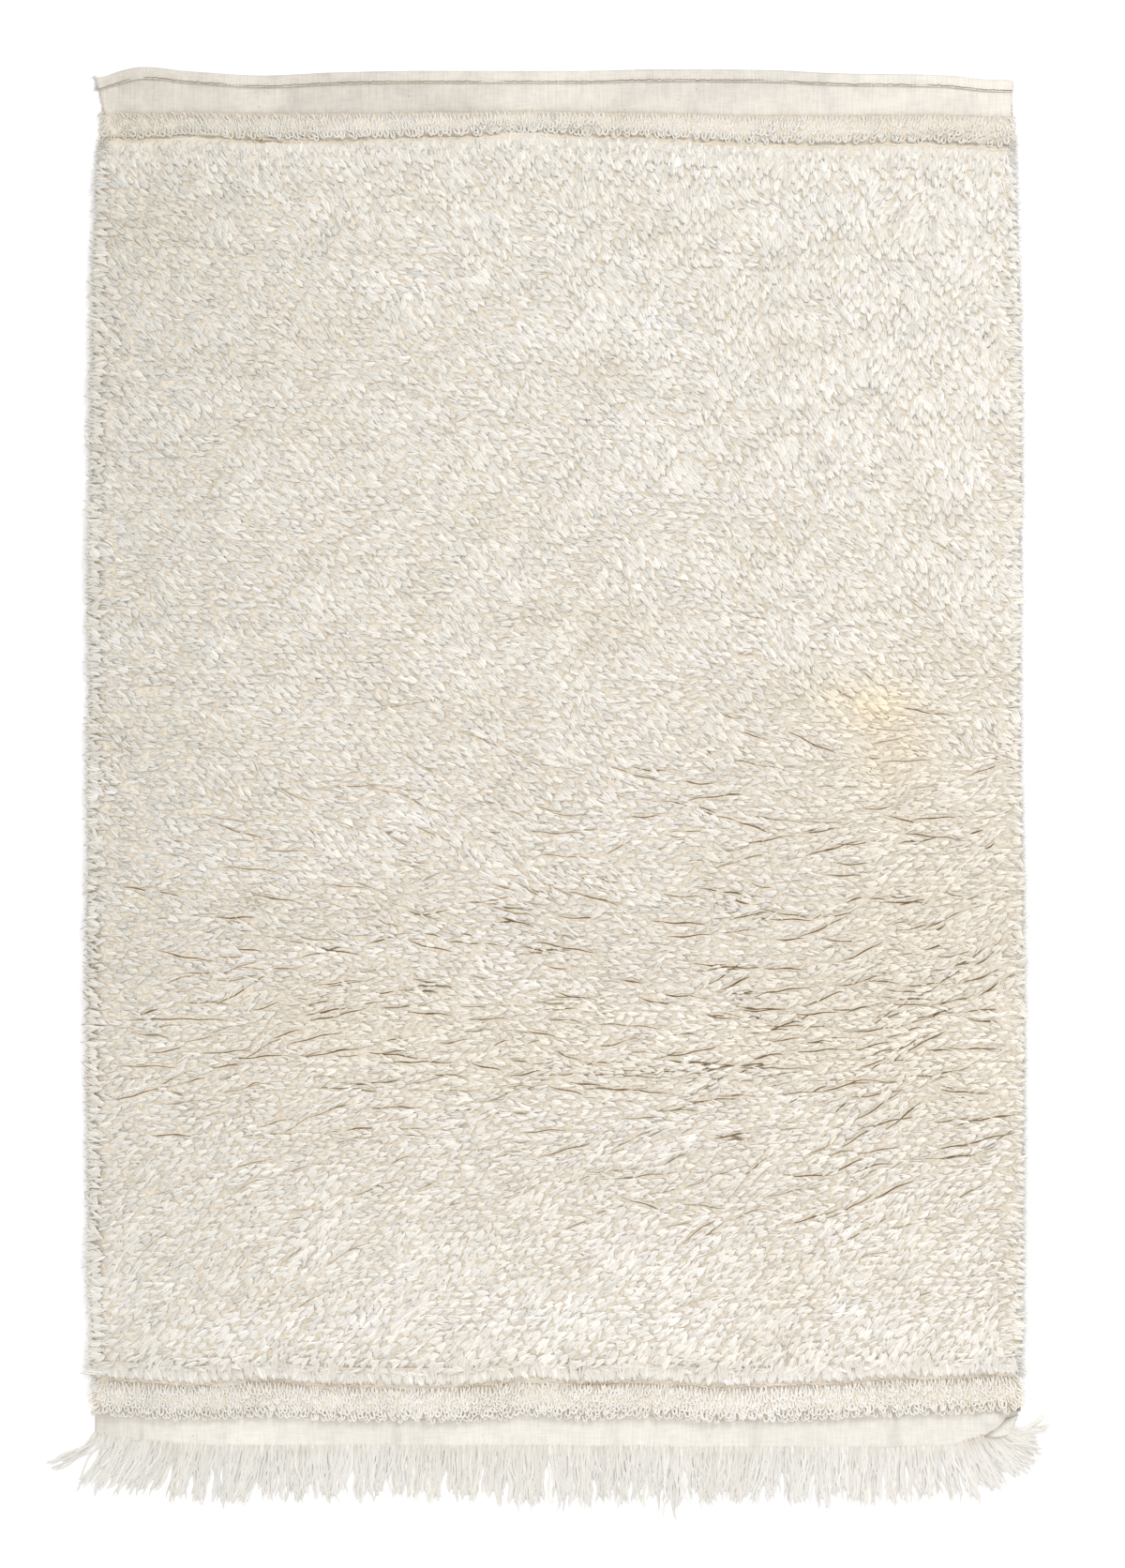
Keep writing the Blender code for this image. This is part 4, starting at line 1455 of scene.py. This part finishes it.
class RUG_OT_rim_fuzz(bpy.types.Operator):
    """Adds the strands that hang over both sides of the pile, and the loose fibres at its rim"""

    bl_idname = "rug.rim_fuzz"
    bl_label = "Rim fuzz"

    def execute(self, context):
        random = np.random.default_rng(settings().seed + 4)
        wool = spun_wool("rim_wool", 4.0, 8.0, 0.5 * MM, 0.06)
        tall = pile_start(0.5) - pile_end(0.5)
        # Painted shade at their roots and on their sides.
        shade = yarn_shade((0.5, 0.9, 1.0, 1.0), (1.0, 0.7, 0.7))
        for name, count, length, width, inset, rise in RIMS:
            side = np.where(np.arange(count) % 2, 1, -1)
            y = pile_end(0.5) + tall * (np.arange(count) + random.uniform(size=count)) / count
            start = inset * MM + random.uniform(0, 5 * MM, count)
            x = crosswise((1 + side) / 2, y) - side * start
            drop = np.radians(random.normal(-12, 26, count) * side)
            heading = np.where(side > 0, 0.0, math.pi) + drop
            lengths = length * MM * random.uniform(0.7, 1.15, count)
            height = (np.array(rise)[None] + random.uniform(-1.5, 2.5, (count, 1))) * MM
            girth = width * MM * random.uniform(0.8, 1.2, count)
            bend = random.normal(0, 0.8, count)
            rings = strand_rings(np.stack([x, y], -1), height, heading, lengths, girth, bend)
            add_yarns(name, rings, shade, wool_tint(x, y) * RIM_SHADE_TINT, wool)
        return {"FINISHED"}


# How far the bed and the partings' roots are under the top of the pile, and how thick the sheets
# of matted wool are.
BED_DEPTH = 3.0 * MM
MATTED = 1 * MM
# How far the edges of a strip of wool are rounded down to the sides.
STRIP_EDGE = 8 * MM
PARTING_STEPS = 14

# The tan roots that show along both creases: how many there are along each, their length and
# width in millimetres, their height over the floor at their stations, and their tint.
CREASE_ROOTS = 300
CREASE_ROOT_LENGTH = 15
CREASE_ROOT_WIDTH = 4.4
CREASE_ROOT_RISE = np.array([6.0, 8.6, 8.6, 6.5])
CREASE_ROOT_TINT = np.array([1.03, 0.985, 0.91])


def bed_points(across, down):
    """Points on the matted roots, from the head crease to the foot crease."""
    first = head_crease(across) - 3 * MM
    last = foot_crease(across) + 2 * MM
    y = first + (last - first) * down
    x = crosswise(across, y)
    return np.stack([x, y, np.maximum(pile_top(x, y, across) - BED_DEPTH, THICKNESS)], -1)


def parting_roots(material):
    """Adds a strand of bare roots along each parting, painted darkest where it is deepest, as
    painted shade.
    """
    partings = all_partings()
    x, y = parting_lines(partings, PARTING_STEPS)
    z = solid_height(x.ravel(), y.ravel()).reshape(x.shape) - BED_DEPTH
    share = np.linspace(-0.98, 0.98, PARTING_STEPS)[None]
    depth = partings[:, 5, None] * np.sqrt(1 - share**2)
    width = (1.4 + 1.4 * depth) * MM
    rings = tube_rings(np.stack([x, y, z], -1), width, width * 0.5, YARN_SECTION)
    shade = 0.35 * (1 - depth)[..., None] + np.zeros((1, 1, 3))
    tint = 1 - depth[..., None, None] * np.array([0.30, 0.34, 0.42])
    add_yarns("pile_partings", rings, shade, tint, material, smooth=True)


def nap_strip(name, line, past, depths, material):
    """Adds short nap along a crease. past holds how far from it the strip begins and ends.

    depths holds how far under the pile's top it is there. All four are in millimetres.
    """

    def place(across, down):
        y = line(across) + (past[0] + (past[1] - past[0]) * down) * MM
        x = crosswise(across, y, 2 * MM)
        rim = np.clip((HALF_WIDTH + 2 * MM - np.abs(x)) / STRIP_EDGE, 0.2, 1)
        depth = depths[0] + (depths[1] - depths[0]) * down
        depth = depth - 0.5 * smooth_noise(x, y, 14 * MM, 61.0)
        inner = np.clip(x, STRIP_EDGE - HALF_WIDTH, HALF_WIDTH - STRIP_EDGE)
        return np.stack([x, y, (pile_top(inner, y, across) - depth * MM) * rim**0.5], -1)

    add_sheet(name, 160, 10, place, material, MATTED)


def crease_roots(random, material):
    """Adds the roots that lie bare along the creases at the two ends of the field."""
    number = np.arange(2 * CREASE_ROOTS)
    at_foot = number >= CREASE_ROOTS
    across = (number % CREASE_ROOTS + random.uniform(size=len(number))) / CREASE_ROOTS
    across = np.clip(across, 0.01, 0.99)
    line = np.where(at_foot, foot_crease(across), head_crease(across) - 0.5 * MM)
    waver = smooth_noise(across * 45, at_foot * 7.0, 1.0, 51.0)
    y = line + (2.4 * waver + random.normal(0, 0.6, len(number))) * MM
    length = CREASE_ROOT_LENGTH * random.uniform(0.7, 1.3, len(number)) * MM
    width = CREASE_ROOT_WIDTH * (1 + smooth_noise(across * 40, at_foot * 9.0, 1.0, 53.0)) * MM
    heading = np.radians(random.normal(0, 9, len(number)))
    rise = CREASE_ROOT_RISE[None] + random.uniform(-0.5, 0.3, (len(number), 1))
    bend = random.normal(0, 0.4, len(number))
    middles = np.stack([crosswise(across, y), y], -1)
    rings = strand_rings(middles, rise * MM, heading, length, width, bend)
    # Painted shade and soil: the roots are painted tan to brown, darker in places.
    deep = smooth_noise(across * 14, at_foot * 5.0, 1.0, 57.0)
    deep = deep + random.normal(0, 0.12, len(number))
    # The head's crease is darker brown near its left end.
    browner = np.exp(-(((across - 0.21) / 0.10) ** 2))
    base = np.where(at_foot, 0.46, 0.66 - 0.30 * browner)
    shade = np.clip(base + 0.45 * deep, 0.05, 1)[:, None, None]
    add_yarns("crease_roots", rings, shade, CREASE_ROOT_TINT[None], material)


class RUG_OT_pile_bed(bpy.types.Operator):
    """Adds the matted roots of the pile, which show in its gaps, partings and creases"""

    bl_idname = "rug.pile_bed"
    bl_label = "Pile bed"

    def execute(self, context):
        # The roots are tan partly as painted shade for the pile's gaps, and partly as their own
        # colour.
        roots = root_wool("root_wool", "BEB39F", "D6CEC1", 5 * MM)
        # Wool that is worn short is paler and more even than the roots.
        nap = root_wool("worn_nap", "CCC5B8", "D6CFC4", 4 * MM)
        add_sheet("pile_bed", 70, 90, bed_points, roots, MATTED)
        wool = spun_wool("root_strands", 4.0, 6.0, 0.5 * MM, 0.1)
        parting_roots(wool)
        nap_strip("head_nap", head_crease, (5, -32), (2.0, 3.0), nap)
        nap_strip("foot_nap", foot_crease, (24, -6), (3.0, 2.0), nap)
        crease_roots(np.random.default_rng(settings().seed + 6), wool)
        return {"FINISHED"}


# ---- the looped bands ------------------------------------------------------------------------

# One loop seen from above, from its root round its tip and back: along and across it as shares of
# its length and its width, and its height over the band in millimetres.
LOOP = np.array(
    [
        (0.0, 0.30, -2.8),
        (0.45, 0.5, -0.1),
        (0.85, 0.40, 0.4),
        (1.0, 0.0, 0.3),
        (0.85, -0.40, -0.1),
        (0.45, -0.5, -0.5),
        (0.0, -0.30, -3.0),
    ]
)
# The shortest and the longest loop, the narrowest and the widest, in millimetres, and how far one
# strays from its place, as a share of the pitch.
LOOP_LENGTHS = (11, 15)
LOOP_WIDTHS = (4.0, 7.0)
LOOP_STRAY = 0.35
# How light the yarn is painted at each of its points, and at its ridge and its two sides: painted
# shade at its roots and on its sides.
LOOP_SHADE = (0.35, 0.85, 1.0, 1.0, 1.0, 0.85, 0.35)
LOOP_FACES = (1.0, 0.62, 0.62)
# Painted light: the bands' yarn is painted paler than the field's, against the shade its thin
# loops cast on one another.
LOOP_PAINTED_LIGHT = np.array([1.10, 1.105, 1.115])
# How far from the sides the loops turn outwards.
LOOPS_TURN = 24 * MM


def band_loops(name, start, end, lean, random, material):
    """Loops in rows that hang towards the foot, each row over the roots of the next."""
    pitch = settings().loop_pitch
    rows = round((start(0.5) - end(0.5)) / pitch)
    columns = round(2 * HALF_WIDTH / pitch)
    row = np.repeat(np.arange(rows), columns)
    across = (np.tile(np.arange(columns), rows) + 0.5 * (row % 2) + 0.25) / columns
    across = across + random.uniform(-LOOP_STRAY, LOOP_STRAY, row.shape) / columns
    across = np.clip(across, *INSIDE)
    down = (row + random.uniform(-LOOP_STRAY, LOOP_STRAY, row.shape)) / rows
    y = start(across) + (end(across) - start(across)) * down
    x = crosswise(across, y)
    length = random.uniform(*LOOP_LENGTHS, row.shape) * MM
    width = random.uniform(*LOOP_WIDTHS, row.shape) * MM
    edge = np.clip(1 - np.minimum(across, 1 - across) * 2 * HALF_WIDTH / LOOPS_TURN, 0, 1)
    out = np.where(across < 0.5, -165.0, -15.0)
    heading = -90 + lean(across)
    heading = heading + edge * (out - heading) + random.normal(0, 14, row.shape)
    heading = np.radians(heading)[:, None]
    forward = length[:, None] * LOOP[None, :, 0]
    aside = width[:, None] * LOOP[None, :, 1]
    px = x[:, None] + forward * np.cos(heading) - aside * np.sin(heading)
    py = y[:, None] + forward * np.sin(heading) + aside * np.cos(heading)
    inner = y + 0.5 * length * np.sin(heading[:, 0])
    top = solid_height(np.clip(px[:, 2], x.min(), x.max()), inner) - 1.5 * MM
    top = np.maximum(top, THICKNESS + 2.5 * MM) + random.normal(0, 0.4 * MM, row.shape)
    z = np.maximum(top[:, None] + LOOP[None, :, 2] * MM, 1.5 * MM)
    yarn = settings().loop_yarn * random.uniform(0.85, 1.1, row.shape)
    yarn = yarn[:, None] + np.zeros(z.shape)
    rings = tube_rings(np.stack([px, py, z], -1), yarn, yarn, YARN_SECTION)
    shade = yarn_shade(LOOP_SHADE, LOOP_FACES)
    tint = wool_tint(x, y) * (1 + random.normal(0, 0.02, x.shape))[:, None]
    add_yarns(name, rings, shade, LOOP_PAINTED_LIGHT * tint, material)


def band_bed(name, start, end, material):
    """The matted loops under a band, as one low roll that meets the cloth at both edges."""

    def place(across, down):
        y = start(across) + (end(across) - start(across)) * down
        x = crosswise(across, y, 4 * MM)
        inner = np.clip(x, STRIP_EDGE - HALF_WIDTH, HALF_WIDTH - STRIP_EDGE)
        roll = np.sin(math.pi * np.clip(down, 0.02, 0.98)) ** 0.3
        z = (solid_height(inner, y) - 2 * MM) * roll
        rim = np.clip(np.minimum(across, 1 - across) * 2 * HALF_WIDTH / STRIP_EDGE, 0, 1)
        return np.stack([x, y, np.maximum(z * rim**0.5, 1.5 * MM)], -1)

    add_sheet(name, 160, 8, place, material, MATTED)


class RUG_OT_looped_bands(bpy.types.Operator):
    """Adds the two bands of small yarn loops that close the pile at the head and the foot"""

    bl_idname = "rug.looped_bands"
    bl_label = "Looped bands"

    def execute(self, context):
        random = np.random.default_rng(settings().seed + 2)
        wool = spun_wool("loop_wool", 4.0, 5.0, 0.5 * MM, 0.2)

        def head_end(across):
            return head_crease(across) + 9 * MM

        def foot_end(across):
            return foot_band_end(across) + 6 * MM

        def foot_start(across):
            return foot_crease(across) + 0.5 * MM

        # The bands' roots are finer than the field's, and paler.
        matted = root_wool("band_roots", "CBC0AC", "D9D1C4", 3 * MM)
        band_bed("head_band_bed", head_band_start, head_crease, matted)
        band_bed("foot_band_bed", foot_crease, foot_band_end, matted)
        band_loops("head_band", head_band_start, head_end, lambda s: 30 - 55 * s, random, wool)
        band_loops("foot_band", foot_start, foot_end, lambda s: 6 * np.sin(9 * s), random, wool)
        return {"FINISHED"}


# ---- the fringe ------------------------------------------------------------------------------

# Strides along a warp end, and how wide it is before and after each, as a share of its width.
FRINGE_STEPS = 9
FRINGE_TAPER = np.array([0.9, 1, 1, 1, 1, 0.97, 0.94, 0.9, 0.75, 0.2])
# Fewest and most warp ends in a lock, the share of the ends that no lock holds, and how far a
# lock's ends draw together towards their tips.
WARP_CLUSTER = (5, 16)
WARP_LOOSE = 0.3
WARP_GATHER = 0.42
# How much an end sways, in radians, and the share of its length over which it turns.
WARP_SWAY = 0.21
TURN_ENDS = 0.55
# One end in so many is a wide matted one that lies under the others, and how much wider it is.
MATTED_ENDS = 4
MATTED_WIDTH = 2.4
# The height of a matted end and of the others, as a share of the width.
WARP_FLATNESS = (0.12, 0.6)
# Where a few longer ends hang, and how much longer they are.
STRAY_ENDS = 4
STRAY_ACROSS = 0.63
STRAY_EXTRA = 22 * MM
# How far inside the foot edge the ends begin.
WARP_ROOT = 8.0 * MM
# The share of the ends that crowd together at the pinched corner, the shares of the width where
# that corner is and over which they spread, and how far their roots are drawn towards the middle
# and the foot there, past the share where the flap begins.
CORNER_CROWD = 0.09
CORNER_ACROSS = 0.998
CORNER_SPREAD = 0.06
CORNER_DRAWN = np.array([-5, -13]) * MM
FLAP_ACROSS = 0.965
# The warp is a little greyer than the tops of the pile.
WARP_TINT = 0.90


def foot_direction(across):
    """Straight out of the foot edge, in radians."""
    step = 0.004
    low = np.clip(across - step, 0, 1)
    high = np.clip(across + step, 0, 1)
    rise = foot_edge(high) - foot_edge(low)
    run = crosswise(high, foot_edge(high)) - crosswise(low, foot_edge(low))
    return np.arctan2(rise, run) - math.pi / 2


def warp_across(random, count):
    """Where the warp ends leave the foot edge, as shares of the width."""
    place = np.arange(count) + 0.5 + random.uniform(-0.4, 0.4, count)
    across = place / (count * (1 - CORNER_CROWD))
    corner = across > CORNER_ACROSS
    across[corner] = CORNER_ACROSS - CORNER_SPREAD * random.uniform(size=corner.sum())
    return np.sort(across)


def comb_ends(random, across):
    """Which ends no lock holds, how long each end is, and where it points in the end."""
    count = len(across)
    number = np.arange(count)
    sizes = random.integers(*WARP_CLUSTER, count)
    lock = np.repeat(number, sizes)[:count]
    within = (number - np.searchsorted(lock, lock)) / np.maximum(sizes[lock] - 1, 1) - 0.5
    loose = random.uniform(size=count) < WARP_LOOSE
    spread = 2 * HALF_WIDTH / count * sizes[lock]
    length = curve(COMBING, "length")(across) * MM
    gather = WARP_GATHER * np.degrees(np.arctan(within * spread / (0.7 * length)))
    target = curve(COMBING, "heading")(across) + random.normal(0, 5, count)[lock]
    target = target - gather * ~loose + random.normal(0, 3, count)
    target = np.radians(target + loose * random.normal(0, 11, count))
    length = length * (1 + random.normal(0, 0.05, count)[lock]) * (1.06 - 0.5 * within**2)
    length = length + random.normal(0, 3.5 * MM, count)
    length = length - loose * random.uniform(0, 12 * MM, count)
    stray = np.argsort(np.abs(across - STRAY_ACROSS))[:STRAY_ENDS]
    length[stray] += STRAY_EXTRA
    return loose, length, target


def warp_paths(random, across, length, target):
    """Points along the ends, which leave the edge nearly straight, turn and sway."""
    first = foot_direction(across)
    first = first + (target - first) * 0.3
    t = (np.arange(FRINGE_STEPS) + 0.5) / FRINGE_STEPS
    eased = np.clip(t / TURN_ENDS, 0, 1)
    eased = eased * eased * (3 - 2 * eased)
    heading = first[:, None] + (target - first)[:, None] * eased[None]
    phase = random.uniform(0, math.tau, (len(across), 1))
    waves = random.uniform(1.0, 2.5, (len(across), 1))
    sway = WARP_SWAY * np.sin(phase + waves * math.tau * t[None]) * (0.4 + t[None])
    heading = heading + sway + random.normal(0, 0.05, heading.shape)
    y = foot_edge(across) + WARP_ROOT
    start = np.stack([crosswise(across, y), y], -1)
    start += np.clip((across - FLAP_ACROSS) / 0.03, 0, 1)[:, None] * CORNER_DRAWN
    return walk(start, heading, np.repeat(length[:, None] / FRINGE_STEPS, FRINGE_STEPS, 1))


def warp_rings(random, path, loose):
    """Rings of the ends in layers: matted ones lowest, and the loose ones on top."""
    count = len(path)
    layer = (np.arange(count) % MATTED_ENDS)[:, None]
    matted = layer == 0
    width = settings().warp_yarn * random.uniform(0.8, 1.15, (count, 1)) * FRINGE_TAPER[None]
    width = width * np.where(matted, MATTED_WIDTH, 1.0)
    height = np.where(matted, *WARP_FLATNESS) * width
    layer = layer * 0.25 + loose[:, None] * 0.3 * ~matted
    arch = np.sin(math.pi * np.linspace(0.25, 1, FRINGE_STEPS + 1))[None]
    z = 0.6 * height + (layer + 0.3) * MM * arch + random.uniform(0, 0.2, (count, 1)) * MM
    # Their first two points lie in and on the cloth.
    z[:, :2] = THICKNESS + (np.array([-0.6, 0.25])[None] + layer * 0.3) * MM
    return tube_rings(with_height(path, z), width, height, YARN_SECTION)


class RUG_OT_fringe(bpy.types.Operator):
    """Adds the warp ends left long at the foot, combed into loose locks"""

    bl_idname = "rug.fringe"
    bl_label = "Fringe"

    def execute(self, context):
        random = np.random.default_rng(settings().seed + 3)
        across = warp_across(random, settings().warp_ends)
        loose, length, target = comb_ends(random, across)
        path = warp_paths(random, across, length, target)
        rings = warp_rings(random, path, loose)
        # Painted shade: dark gaps between the ends at their roots, most of all beside the flap.
        run = np.linspace(0, 1, FRINGE_STEPS + 1)
        shaded = np.exp(-(((across - FLAP_ACROSS) / 0.022) ** 2))[:, None]
        shaded = shaded * np.clip(1 - 3 * run, 0, 1)
        gaps = 0.8 * random.uniform(size=(len(across), 1)) ** 2 * np.clip(1 - 4 * run, 0, 1)
        shade = yarn_shade(np.clip(0.75 + 1.5 * run, 0, 1), (1.0, 0.72, 0.72))
        shade = shade * (1 - gaps[..., None])
        shade = shade * (1 - 0.6 * shaded[..., None])
        tint = wool_tint(path[:, 5, 0], path[:, 5, 1]) * WARP_TINT
        tint = tint * (1 + random.normal(0, 0.04, len(across)))[:, None]
        wool = spun_wool("warp_wool", 3.0, 7.0, 0.4 * MM, 0.06)
        add_yarns("warp_ends", rings, shade, tint, wool, slot="warp_fringe", node="fringe")
        return {"FINISHED"}


# ---- the sidebar and the run -------------------------------------------------------------------


class RUG_PT_sidebar(bpy.types.Panel):
    bl_idname = "RUG_PT_sidebar"
    bl_label = "Tulu Rug"
    bl_space_type = "VIEW_3D"
    bl_region_type = "UI"
    bl_category = "Rug"

    def draw(self, context):
        for name in RugSettings.__annotations__:
            self.layout.prop(context.scene.tulu_rug, name)
        for operator in OPERATORS:
            self.layout.operator(operator.bl_idname)


OPERATORS = (
    RUG_OT_stage,
    RUG_OT_ground_cloth,
    RUG_OT_corner_flap,
    RUG_OT_hem_seam,
    RUG_OT_pile_bed,
    RUG_OT_pile_field,
    RUG_OT_rim_fuzz,
    RUG_OT_looped_bands,
    RUG_OT_fringe,
)


def register():
    bpy.utils.register_class(RugSettings)
    bpy.types.Scene.tulu_rug = PointerProperty(type=RugSettings)
    for operator in OPERATORS:
        bpy.utils.register_class(operator)
    bpy.utils.register_class(RUG_PT_sidebar)


def unregister():
    bpy.utils.unregister_class(RUG_PT_sidebar)
    for operator in reversed(OPERATORS):
        bpy.utils.unregister_class(operator)
    del bpy.types.Scene.tulu_rug
    bpy.utils.unregister_class(RugSettings)


def main():
    register()
    bpy.ops.rug.stage()
    bpy.ops.rug.ground_cloth()
    bpy.ops.rug.corner_flap()
    bpy.ops.rug.hem_seam()
    bpy.ops.rug.pile_bed()
    bpy.ops.rug.pile_field()
    bpy.ops.rug.rim_fuzz()
    bpy.ops.rug.looped_bands()
    bpy.ops.rug.fringe()


if __name__ == "__main__":
    main()
